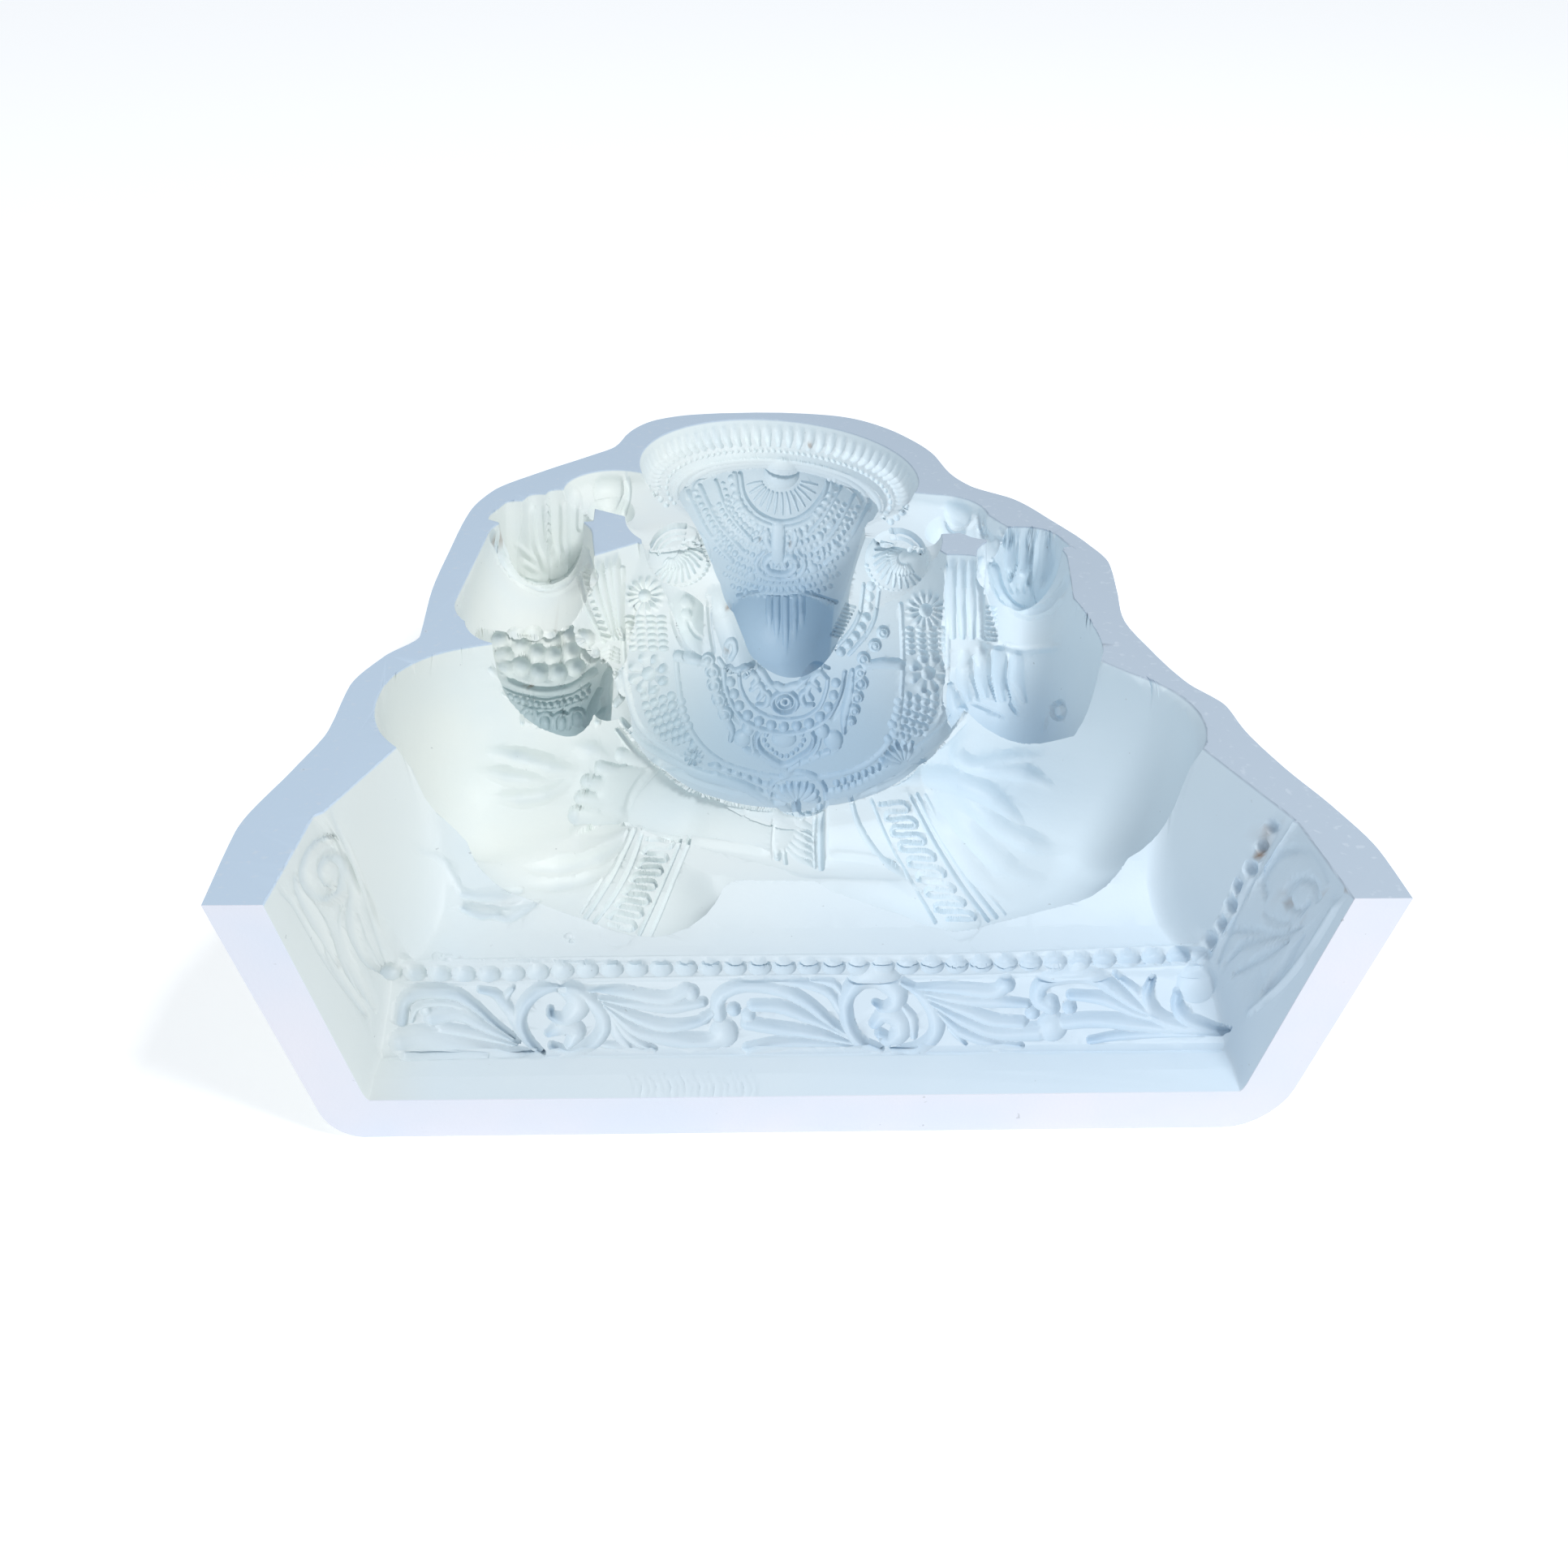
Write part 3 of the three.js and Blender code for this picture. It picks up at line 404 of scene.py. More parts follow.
LEAVES = [
    # first run: leaves to the left of the volute
    ([(494, 1256), (499, 1232), (520, 1221), (558, 1223), (582, 1236), (606, 1256), (634, 1276)],
     (8, 9, 6, 2), 2.2),
    ([(506, 1256), (514, 1240), (540, 1234), (570, 1240), (600, 1262)], (4, 5, 3), 1.6),
    ([(532, 1253), (565, 1248), (598, 1264), (640, 1283)], (9, 9, 6, 2), 2.1),
    ([(543, 1266), (580, 1272), (636, 1286)], (7, 6, 2), 1.8),
    ([(496, 1283), (525, 1278), (573, 1286), (628, 1295), (668, 1297)], (15, 14, 9, 3), 2.3),
    ([(500, 1298), (545, 1298), (600, 1300)], (8, 6, 3), 1.6),
    ([(591, 1219), (612, 1225), (631, 1249), (644, 1275), (664, 1294)], (4, 7, 6, 2), 1.6),
    ([(632, 1216), (622, 1232), (632, 1256)], (3, 6, 3), 1.2),
    # first volute
    ([(668, 1297), (648, 1277), (640, 1252), (655, 1226), (683, 1213), (714, 1220), (738, 1242), (744, 1264),
      (730, 1284), (702, 1294), (680, 1288)], (4, 8, 8, 7, 9, 8, 5), 2.4),
    ([(690, 1212), (710, 1226), (712, 1240), (696, 1254), (680, 1250), (678, 1242)], (8, 13, 13, 8, 4), 2.6),
    ([(676, 1272), (694, 1264), (710, 1270), (700, 1286)], (5, 11, 11, 5), 2.2),
    ([(753, 1250), (762, 1274), (778, 1291)], (3, 7, 3), 1.5),
    ([(742, 1286), (765, 1289), (800, 1294)], (4, 6, 2), 1.2),
    # fan to its right
    ([(722, 1218), (763, 1220), (818, 1229), (846, 1219)], (2, 7, 8, 8), 1.9),
    ([(738, 1228), (782, 1236), (829, 1240), (866, 1234)], (2, 6, 8, 6), 1.8),
    ([(742, 1232), (782, 1252), (822, 1263), (860, 1258), (878, 1246)], (2, 6, 8, 7, 5), 2.0),
    ([(744, 1236), (782, 1267), (822, 1278), (866, 1283), (890, 1276)], (2, 7, 9, 10, 11), 2.2),
    ([(748, 1242), (776, 1276), (806, 1292)], (2, 6, 4), 1.7),
    # second run
    ([(886, 1250), (884, 1234), (894, 1221), (921, 1213), (958, 1217), (994, 1234), (1022, 1256),
      (1050, 1276)],
     (8, 8, 9, 8, 6, 2), 2.2),
    ([(928, 1208), (983, 1210), (1020, 1222), (1036, 1246), (1050, 1272)], (2, 5, 6, 5, 2), 1.5),
    ([(1000, 1206), (1028, 1212), (1040, 1230)], (2, 5, 3), 1.2),
    ([(928, 1238), (961, 1240), (998, 1254), (1026, 1266), (1056, 1281)], (7, 8, 7, 4, 2), 2.0),
    ([(921, 1260), (958, 1266), (998, 1271), (1058, 1284)], (8, 8, 6, 2), 2.1),
    ([(922, 1291), (965, 1284), (1020, 1284), (1064, 1289)], (7, 8, 6, 2), 2.0),
    # second volute
    ([(1084, 1291), (1060, 1282), (1046, 1262), (1042, 1232), (1058, 1208), (1084, 1203), (1104, 1219),
      (1104, 1234), (1090, 1240), (1078, 1234)], (5, 8, 8, 9, 12, 14, 10, 4), 2.6),
    ([(1078, 1260), (1090, 1249), (1108, 1254), (1110, 1270), (1096, 1280), (1084, 1272)],
     (7, 11, 12, 10, 6), 2.4),
    ([(1112, 1208), (1138, 1226), (1154, 1254), (1150, 1276), (1130, 1290), (1100, 1292)], (4, 8, 9, 8, 4),
     2.1),
    ([(1112, 1236), (1124, 1256), (1126, 1276)], (3, 7, 4), 1.5),
    # fan to its right
    ([(1120, 1214), (1180, 1217), (1224, 1221), (1240, 1211)], (2, 6, 8, 9), 1.9),
    ([(1134, 1220), (1184, 1230), (1240, 1234), (1266, 1236)], (2, 6, 8, 5), 1.8),
    ([(1140, 1225), (1192, 1244), (1224, 1256), (1260, 1259)], (2, 6, 8, 7), 2.0),
    ([(1146, 1232), (1192, 1258), (1232, 1271), (1280, 1270)], (2, 7, 9, 11), 2.2),
    ([(1154, 1242), (1184, 1270), (1224, 1284), (1258, 1288)], (2, 6, 7, 4), 1.8),
    ([(1170, 1266), (1190, 1286)], (3, 4, 2), 1.3),
    # third run
    ([(1296, 1240), (1280, 1230), (1284, 1211), (1312, 1201), (1346, 1202), (1374, 1218), (1402, 1237),
      (1432, 1252)],
     (9, 9, 10, 9, 7, 2), 2.3),
    ([(1320, 1225), (1360, 1230), (1400, 1246), (1446, 1259)], (6, 8, 6, 2), 2.0),
    ([(1312, 1258), (1360, 1256), (1420, 1263), (1510, 1271)], (9, 9, 7, 2), 2.1),
    ([(1344, 1281), (1380, 1275), (1440, 1272), (1506, 1274)], (5, 6, 5, 2), 1.8),
    ([(1374, 1199), (1400, 1220), (1424, 1246), (1458, 1260), (1510, 1271)], (3, 6, 6, 5, 2), 1.6),
    ([(1420, 1204), (1414, 1226), (1424, 1248), (1452, 1262), (1510, 1270)], (4, 9, 9, 7, 2), 2.1),
    ([(1452, 1222), (1452, 1240), (1470, 1258), (1514, 1269)], (6, 9, 8, 2), 2.2),
]
for line, width, height in LEAVES:
    ridge(line, [1.15 * w for w in width], 1.2 * height, crown=0.7)
for at, radius, height in [((852, 1222), 10, 2.4), ((892, 1272), 18, 2.8), ((868, 1254), 8, 2.0),
                           ((904, 1243), 9, 2.4),
                           ((922, 1250), 9, 2.4), ((1240, 1212), 11, 2.4), ((1272, 1247), 9, 2.2),
                           ((1296, 1264), 19, 2.8), ((1318, 1240), 9, 2.3), ((1295, 1234), 10, 2.5),
                           ((1474, 1212), 24, 1.8), ((525, 1244), 7, 2.0)]:
    boss(at, radius, height)

# Bead edge over the panel: oval beads that touch, each a shallow pit in the rubber.
# It runs on up both sloping ends, where the rubber has torn and most of it is worn away.
def sink(k, depth):
    """The figure is cut in by this depth there."""
    relief[k] -= depth


def groove(points, width, depth):
    """Soft furrow along a curve: depth * (1 - (offset / half width) ** 2) ** 2, tapered at both ends."""
    k, s, t, length = along(points, width)
    ends = np.clip(np.minimum(s, length - s) / (2 * width), 0, 1)
    sink(k, depth * ends * np.clip(1 - (t / width) ** 2, 0, 1) ** 2)


def beads(points, pitch, along_by, across_by, height, start=0.5):
    """Row of oval beads along a curve, evenly pitched so that they fill it."""
    k, s, t, length = along(points, across_by)
    pitch = length / max(1, round(length / pitch))
    r = np.hypot(((s / pitch + start) % 1 - 0.5) * pitch / along_by, t / across_by)
    raise_up(k, height * np.clip(1 - r * r, 0, 1) ** 0.5)


beads([(481, 1197), (560, 1200), (620, 1200), (720, 1195), (900, 1192), (1130, 1190), (1290, 1185),
       (1482, 1177)],
      30.2, 14.5, 10.5, 2.1)
groove([(490, 1212), (720, 1208), (1000, 1203), (1200, 1203), (1480, 1190)], 3.5, 0.5)
groove([(490, 1186), (720, 1182), (1000, 1179), (1200, 1177), (1480, 1166)], 4, 0.7)
for at, radius, squash in (((1567, 1017), 8, 1.35), ((1554, 1042), 8, 1.3), ((1540, 1070), 9, 1.25),
                           ((1524, 1092), 6.5, 1.4),
                           ((1516, 1115), 8, 1.5), ((1504, 1138), 7, 1.4), ((1490, 1160), 10, 1.15)):
    boss(at, radius, 2.3, squash=squash, round_by=0.7)

# Sloping ends of the plinth: on the left a volute over long leaves, on the right a worn and torn scroll.
# A plain fillet runs beside the beads, and another marks where the end meets the foot band.
ridge([(412, 1092), (402, 1085), (399, 1070), (407, 1057), (421, 1060), (427, 1078), (420, 1098), (402, 1107),
       (385, 1096), (376, 1075), (380, 1052), (394, 1036), (412, 1032)], (4, 7, 8, 8, 9, 9, 9, 8, 8, 7, 4),
       1.5, crown=0.8)
for line, width, height in [
        ([(366, 1080), (372, 1102), (388, 1132), (404, 1160), (420, 1190)], (4, 6, 7, 5, 2), 1.8),
        ([(392, 1112), (408, 1130), (420, 1156), (430, 1190), (446, 1226)], (3, 7, 8, 6, 2), 1.9),
        ([(432, 1072), (437, 1100), (434, 1130), (440, 1160), (454, 1186), (478, 1202)], (3, 6, 7, 6, 4, 2),
         1.8),
        ([(424, 1122), (422, 1150), (432, 1186), (446, 1214), (462, 1244)], (3, 6, 6, 5, 2), 1.7),
        ([(404, 1170), (418, 1198), (436, 1226), (454, 1252)], (3, 6, 5, 2), 1.6),
        ([(402, 988), (416, 1016), (430, 1046), (442, 1076), (454, 1110), (466, 1150), (477, 1182)], 3.5,
         1.1),
        ([(396, 1004), (410, 1032), (424, 1062), (436, 1092), (446, 1130), (458, 1164), (472, 1188)], 2.5,
         0.9),
        ([(345, 1096), (362, 1112), (380, 1142), (402, 1182), (426, 1216), (450, 1248)], 4, 1.2),
        ([(1612, 1112), (1600, 1122), (1587, 1112), (1586, 1096), (1600, 1083), (1618, 1088), (1624, 1108)],
         (3, 5, 6, 5, 3), 1.3),
        ([(1560, 1104), (1556, 1078), (1572, 1054), (1602, 1046), (1624, 1060), (1636, 1086)],
         (3, 6, 7, 6, 3), 1.2),
        ([(1504, 1150), (1540, 1146), (1574, 1151), (1604, 1142)], (2, 6, 6, 2), 1.2),
        ([(1510, 1186), (1532, 1164), (1574, 1154)], (2, 6, 2), 1.3),
        ([(1520, 1200), (1552, 1180), (1586, 1160)], (2, 6, 2), 1.3),
        ([(1556, 1222), (1580, 1196), (1592, 1172), (1606, 1152)], (3, 7, 5, 2), 1.3),
        ([(1556, 1126), (1572, 1134), (1592, 1138)], (2, 5, 2), 1.0),
        ([(1500, 1186), (1520, 1134), (1540, 1092), (1562, 1048), (1584, 1004)], 2.5, 1.0)]:
    ridge(line, np.multiply(width, 1.25), 0.65 * height, crown=0.8)
groove([(1664, 1096), (1642, 1124), (1616, 1166), (1580, 1212), (1534, 1252)], 6, 1.0)

# Knot of cloth on the cushion beside the left knee, with a stem that trails up past it.
# It is a low soft lump of clay, pinched into three folds.
ridge([(500, 1034), (524, 1050), (545, 1060), (557, 1078), (567, 1096)], (5, 7, 7, 5), (0, 0.6, 0.7, 0.6),
      crown=1)
ridge([(570, 1101), (592, 1104), (620, 1101), (642, 1096)], (6, 10, 10, 5), 1.2, crown=0.8)
ridge([(570, 1119), (590, 1127), (614, 1126)], (5, 7, 4), 1.3, crown=0.8)
ridge([(610, 1128), (627, 1131), (646, 1121), (664, 1110)], (5, 7, 7, 3), 1.2, crown=0.8)
groove([(570, 1111), (596, 1114), (624, 1118), (644, 1112)], 4.5, 1.2)

# Lap: bare foot over the other leg, ankle band, and the two embroidered hems of the leg cloth.
# Toes and bands were modelled in soft clay, so their edges are rounded and a little uneven.
for line, width, height in [([(711, 1004), (730, 1007), (756, 1008)], (12, 14, 9), 2.2),
                            ([(716, 983), (734, 986), (758, 989)], (9, 10, 7), 1.8),
                            ([(724, 963), (742, 967), (764, 971)], (9, 10, 7), 1.7),
                            ([(741, 946), (757, 951), (778, 958)], (9, 10, 7), 1.7),
                            ([(766, 930), (780, 934), (800, 943)], (9, 10, 7), 1.6)]:
    ridge(line, width, height)
ridge([(770, 978), (812, 984), (880, 1000), (948, 1016)], (36, 40, 36, 34), 2.4, crown=0.35)
ridge([(806, 945), (780, 965), (762, 990), (757, 1012)], (10, 12, 12, 9), 1.6)
groove([(700, 1026), (722, 1022), (752, 1017), (778, 1022), (833, 1034), (893, 1042), (953, 1050)], 8, 1.6)
groove([(1016, 1052), (1060, 1056), (1096, 1064), (1118, 1072)], 8, 1.2)
groove([(803, 943), (786, 958), (772, 980), (768, 1004)], 6, 0.7)
ridge([(958, 1000), (955, 1030), (958, 1056)], 4.5, 1.9)
ridge([(967, 1005), (964, 1032), (968, 1063)], 3, 1.5)
ridge([(1012, 1002), (1011, 1036), (1012, 1069)], 4, 1.9)
ridge([(1004, 1006), (1003, 1036), (1004, 1068)], 2.5, 1.3)
for i in range(6):
    top = 998 + i * 9
    ridge([(968, top), (982, top + 12), (1000, top + 22)], (3, 5, 3), 1.5)
groove([(1018, 984), (1018, 1030), (1017, 1070)], 4, 0.8)
groove([(953, 1000), (950, 1030), (953, 1062)], 3, 0.7)


def meander(left, right, hooks, width, height):
    """Line that runs to and fro between two borders, with a dot in each of its loops."""
    left, right = np.array(left, float), np.array(right, float)
    spans = np.linspace(0, 1, len(left))

    def at(f, g):
        a = np.array([np.interp(f, spans, left[:, i]) for i in (0, 1)])
        b = np.array([np.interp(f, spans, right[:, i]) for i in (0, 1)])
        return tuple(a + (b - a) * g)

    line = []
    for i in range(hooks):
        f = (i + 0.25) / hooks
        line += [at(f, 0.24), at(f, 0.74), at(f + 0.5 / hooks, 0.78), at(f + 0.5 / hooks, 0.28)]
    ridge(line, width, height)
    for i in range(hooks):
        f = (i + 0.5) / hooks
        boss(at(f, 0.84), 2.8, height)
        boss(at(f - 0.27 / hooks, 0.16), 2.6, height)
    return [at(f, 0.5) for f in spans]


hem_left = ([(791, 1027), (775, 1069), (756, 1104), (733, 1136)],
            [(841, 1030), (824, 1070), (806, 1112), (788, 1151)])
hem_right = ([(1074, 986), (1095, 1036), (1122, 1083), (1152, 1136)],
             [(1122, 982), (1150, 1036), (1184, 1090), (1217, 1134)])
for left, right in (hem_left, hem_right):
    k, s, t, length = along([((a[0] + b[0]) / 2, (a[1] + b[1]) / 2) for a, b in zip(left, right)], 25)
    raise_up(k, 0.5 * ease(25, 21, np.abs(t)))
meander(*hem_left, 7, 2.7, 2.1)
meander(*hem_right, 8, 2.9, 2.1)
for line in (hem_left[0], hem_left[1], hem_right[0], hem_right[1]):
    ridge(line, 2.6, 1.4)
ridge([(782, 1022), (762, 1065), (742, 1100), (722, 1130)], 3, 1.3)
ridge([(774, 1022), (752, 1066), (716, 1124)], 2, 0.7)
ridge([(851, 1034), (832, 1080), (815, 1122), (802, 1152)], 2.5, 0.8)
ridge([(1130, 980), (1158, 1032), (1193, 1086), (1227, 1130)], 3, 1.3)
ridge([(1140, 980), (1168, 1030), (1204, 1084), (1238, 1126)], 2, 0.7)
ridge([(1047, 980), (1060, 1020), (1086, 1058), (1112, 1078), (1136, 1096)], (3, 4, 4, 2), 1.3)

# Cloth of the legs: long soft folds that gather at the hip and run out over the thighs and shins.
# They are wide and round, and fade out at both ends.
FOLDS = [
    ([(596, 924), (640, 934), (684, 946), (716, 952)], (3, 8, 9, 3), 1.4),
    ([(590, 950), (630, 956), (668, 962), (690, 962)], (3, 8, 8, 3), 1.3),
    ([(604, 984), (642, 982), (676, 976), (706, 962)], (3, 8, 8, 3), 1.2),
    ([(700, 918), (730, 924), (752, 936)], (3, 8, 3), 1.0),
    ([(778, 1030), (740, 1054), (690, 1068), (640, 1070)], (3, 8, 8, 2), 1.3),
    ([(765, 1058), (720, 1080), (676, 1089), (640, 1088)], (3, 7, 7, 2), 1.1),
    ([(760, 1024), (712, 1040), (668, 1046)], (2, 7, 2), 0.9),
    ([(1080, 974), (1124, 958), (1176, 961), (1226, 984), (1262, 1020)], (3, 8, 10, 9, 3), 1.5),
    ([(1128, 984), (1168, 1030), (1206, 1080), (1246, 1112)], (3, 8, 8, 3), 1.0),
    ([(1150, 976), (1192, 1024), (1240, 1066), (1290, 1088)], (3, 8, 9, 3), 1.2),
    ([(1176, 972), (1224, 1012), (1276, 1040), (1322, 1048)], (3, 8, 9, 3), 1.3),
    ([(1170, 952), (1216, 946), (1262, 952), (1300, 972)], (3, 8, 8, 3), 1.3),
    ([(1196, 900), (1180, 926), (1200, 944), (1250, 934), (1290, 930)], (3, 7, 8, 7, 3), 1.2),
]
for line, width, height in FOLDS:
    ridge(line, [1.8 * w for w in width], [0] + [1.5 * height] * (len(line) - 2) + [0], crown=1.2)

# Sash over the crease between belly and thighs: two cords on the left, a flat band on the right.
# It was laid on as strips of clay, with a line scored between them.
ridge([(766, 888), (798, 920), (858, 950), (918, 968), (955, 990)], (4, 6, 6, 5), 2.1)
ridge([(760, 900), (790, 934), (850, 964), (912, 984)], (3, 5, 5, 4), 1.6)
groove([(764, 894), (795, 927), (855, 957), (914, 975)], 3, 0.7)
ridge([(1186, 876), (1152, 910), (1104, 944), (1050, 972), (1020, 978)], (7, 8, 8, 6), 1.5, crown=0.3)
groove([(1192, 888), (1160, 920), (1112, 954), (1056, 982)], 3, 0.6)

# Garlands down both sides of the chest: a daisy, rows of grains, a jewelled flower, then seed beads.
# They were pressed from small stamps, so flowers and beads repeat but sit a little unevenly.
for edge in ([(768, 700), (767, 767), (771, 830), (784, 886), (808, 914), (850, 940)],
             [(833, 812), (837, 847), (844, 884), (866, 920), (902, 944), (960, 957), (1010, 957),
              (1060, 945),
              (1093, 917), (1107, 884), (1112, 817), (1110, 745)],
             [(1167, 700), (1168, 780), (1166, 840), (1158, 884), (1140, 904)]):
    ridge(edge, 3.2, 1.1)
boss((795, 734), 26, 1.9, petals=14, hub=1.3)
boss((1140, 752), 27, 1.9, petals=14, hub=1.3)
for cx in (776, 789, 802, 815):
    for i in range(6):
        boss((cx + 0.6 * i, 761 + i * 7.6), 6.2, 1.5, squash=0.55)
for cx in (1120, 1134, 1148, 1161):
    for i in range(5):
        boss((cx + 0.5 * i, 775 + i * 7.2), 6.2, 1.5, squash=0.55)
for cx, cy in ((800, 830), (1143, 829)):
    boss((cx, cy), 29, 1.7, petals=8, hub=0.4, turn=0.3)
    boss((cx, cy), 9, 3.0, round_by=0.8)
    for i in range(8):
        a = np.radians(22 + i * 45)
        boss((cx + 20 * np.cos(a), cy + 20 * np.sin(a)), 5.2, 2.6)
SEEDS_LEFT = [(794, 853), (797, 872), (806, 893), (822, 912)]
SEEDS_RIGHT = [(1152, 853), (1150, 872), (1142, 890), (1128, 906)]
for path, outwards in ((SEEDS_LEFT, 1), (SEEDS_RIGHT, -1)):
    for j in range(5):
        rowed = [(px_ + outwards * j * 11.2, py_ + j * 1.5) for px_, py_ in path]
        if j == 4:
            rowed = rowed[:3]
        beads(rowed, 10.6, 5.3, 5.6, 1.6, start=0.5 * (j % 2))
boss((855, 931), 13, 2.0, petals=9, hub=0.8)
for i in range(9):
    a = np.radians(-175 + i * 22)
    ridge([(1112 + 6 * np.cos(a), 938 + 6 * np.sin(a)), (1112 + 27 * np.cos(a), 938 + 25 * np.sin(a))],
          (2, 4.5, 3), 1.7)

# Belt: pointed leaves from the left, three rows of seed pits from the right, and a shell clasp.
# Leaves, seeds and the ribs of the shell were each pressed with a small stamp.
for i in range(7):
    x0, y0 = 874 + i * 12.5, 942 + i * 4.6
    ridge([(x0, y0), (x0 + 8, y0 + 1), (x0 + 16, y0 + 6)], (2, 4.5, 2), 1.6)
    ridge([(x0 + 2, y0 + 10), (x0 + 10, y0 + 12), (x0 + 16, y0 + 15)], (2, 3.5, 2), 1.3)
for j in range(3):
    beads([(1026, 966 + j * 8), (1062, 953 + j * 8), (1094, 938 + j * 8)], 9.5, 4.2, 4.2, 1.5,
          start=0.5 * (j % 2))
for i in range(9):
    a = np.radians(180 + i * 22.5)
    cx, cy = 982 + 25 * np.cos(a), 985 + 22 * np.sin(a)
    ridge([(982 + 6 * np.cos(a), 984 + 6 * np.sin(a)), (cx, cy)], (2.5, 5, 4.5), 2.2)
ridge([(948, 982), (952, 964), (968, 954), (986, 951), (1004, 956), (1016, 970), (1018, 984)], 3.4, 1.5)
ridge([(982, 1004), (981, 990), (981, 978)], (5, 6, 2), 2.6)
beads([(958, 992), (968, 1001), (982, 1006), (998, 1003), (1010, 994)], 9, 4.2, 4.2, 1.9)

# Necklace: a lace of pearls round a collar plate, a target medallion, and a heart with its own beads.
# Rings of wire and small pearls were set on it one by one, so no two are quite the same size.
def ring(at, radius, width, height, squash=1.0):
    """Round ridge about a middle."""
    a, b = np.array(at, float), np.array([1, squash]) * (radius + width)
    k = window(a - b, a + b)
    r = np.hypot(p[k] - a[0], (q[k] - a[1]) / squash)
    raise_up(k, height * np.clip(1 - ((r - radius) / width) ** 2, 0, 1) ** 0.5)


NECK = [(899, 824), (900, 838), (904, 852), (909, 865), (917, 877), (931, 886), (947, 892), (963, 895),
        (980, 894), (998, 890), (1011, 882), (1021, 870), (1027, 856), (1030, 841)]
beads(NECK, 15.5, 6.4, 5.8, 2.0)
ridge([(910, 824), (913, 848), (926, 870), (946, 882), (968, 886), (992, 883), (1010, 870), (1018, 850),
       (1020, 836)], 2.6, 1.2)
ridge([(891, 822), (895, 850), (909, 879), (927, 893), (946, 900), (970, 903), (994, 899), (1016, 887),
       (1030, 870),
       (1038, 850), (1041, 828)], 3, 1.5)
ridge([(878, 818), (882, 850), (892, 880), (902, 898), (900, 912)], (3, 5, 5, 3), 1.6)
ridge([(1050, 826), (1046, 856), (1040, 884), (1040, 902)], (3, 5, 5, 3), 1.6)
groove([(885, 822), (890, 852), (902, 880), (915, 894)], 4, 1.0)
groove([(1046, 826), (1040, 856), (1032, 876), (1024, 890)], 4, 1.0)
for at, r in (((873, 812), 8), ((878, 827), 9), ((880, 843), 9), ((886, 861), 9), ((894, 879), 9)):
    ring(at, r - 2, 2.4, 1.6)
    boss(at, r * 0.55, 2.2)
for at, r in (((1088, 779), 8), ((1078, 795), 8), ((1064, 811), 8), ((1060, 827), 7), ((1061, 841), 9),
              ((1056, 858), 8),
              ((1053, 874), 7), ((1049, 888), 6)):
    ring(at, r - 2, 2.4, 1.6)
    boss(at, r * 0.5, 2.2)
ring((967, 865), 15.5, 3.2, 2.0, squash=0.86)
ring((967, 865), 8.5, 2.2, 1.6, squash=0.86)
boss((967, 865), 3.2, 2.2)
for s in (1, -1):
    m = 967.5
    ridge([(m - s * 54, 823), (m - s * 36, 820), (m - s * 22, 838), (m - s * 12, 848)], (2, 5, 5, 3), 1.9)
    ridge([(m - s * 50, 834), (m - s * 42, 828), (m - s * 34, 836), (m - s * 40, 843)], (3, 4, 4, 3), 1.7)
    ridge([(m - s * 42, 850), (m - s * 32, 843), (m - s * 27, 852), (m - s * 33, 861)], (3, 4, 4, 3), 1.7)
    ridge([(m - s * 34, 868), (m - s * 24, 868), (m - s * 20, 856), (m - s * 27, 848)], (3, 4, 4, 2), 1.7)
ridge([(946, 846), (956, 844), (967, 848), (980, 844), (992, 842)], (3, 5, 5, 5, 3), 1.6)
HEART = [(938, 900), (933, 908), (936, 921), (950, 933), (966, 941), (983, 933), (998, 922), (1003, 909),
         (998, 900)]
ridge(HEART, 3.2, 1.8)
ridge([(932, 896), (926, 908), (930, 925), (947, 939), (966, 948), (986, 939), (1004, 926), (1010, 908),
       (1004, 896)], 2.6, 1.0)
beads([(944, 905), (942, 913), (950, 923), (966, 932), (982, 923), (990, 913), (988, 905)], 7.6, 3, 2.8, 1.3)
boss((966, 910), 15, 1.7, squash=0.72)
for at, r in (((915, 909), 11), ((1027, 911), 12), ((922, 897), 8), ((1013, 900), 9)):
    boss(at, r, 2.2)
for i in range(5):
    ridge([(917 + i * 10.5, 921 + i * 4.6), (929 + i * 10.5, 929 + i * 4.6)], (3, 5, 3), 1.7)
    ridge([(1034 - i * 12.5, 919 + i * 4.8), (1021 - i * 12.5, 928 + i * 4.8)], (3, 5, 3), 1.7)
boss((970, 950), 9, 1.8, squash=0.7)

# Lace of pearls on the right shoulder, the tips of the shawl, and the curled end of the trunk.
# The lace is a row of pearls between two wires; the trunk's wrinkles are scored lines.
LACE = [(1073, 722), (1071, 740), (1068, 758), (1060, 775), (1049, 789), (1036, 803)]
beads(LACE, 14, 6.3, 6, 2.0)
ridge([(a - 9, b - 2) for a, b in LACE], 2.6, 1.5)
ridge([(a + 10, b + 3) for a, b in LACE], 2.6, 1.5)
for i in range(9):
    a = np.array([1053.0, 748.0]) + np.array([-2.2, 4.6]) * i
    ridge([tuple(a), tuple(a + [-11, -3])], 1.9, 1.4)
ridge([(1066, 820), (1086, 817), (1109, 818)], (5, 7, 7), 2.2)
ridge([(836, 808), (854, 812), (872, 816)], (7, 7, 5), 2.2)
boss((847, 742), 9, 1.0)
boss((846, 756), 7, 1.0)
groove([(872, 716), (873, 745), (875, 775), (880, 806)], 3.5, 1.4)
groove([(826, 742), (830, 770), (842, 796), (862, 808)], 3.5, 1.2)
groove([(846, 762), (856, 780), (868, 788)], 4, 0.8)
ridge([(893, 808), (896, 794), (903, 789), (906, 800), (901, 812)], (3, 4, 3), 1.3)
ridge([(886, 812), (893, 822), (906, 826), (918, 820)], (3, 4, 3), 1.2)

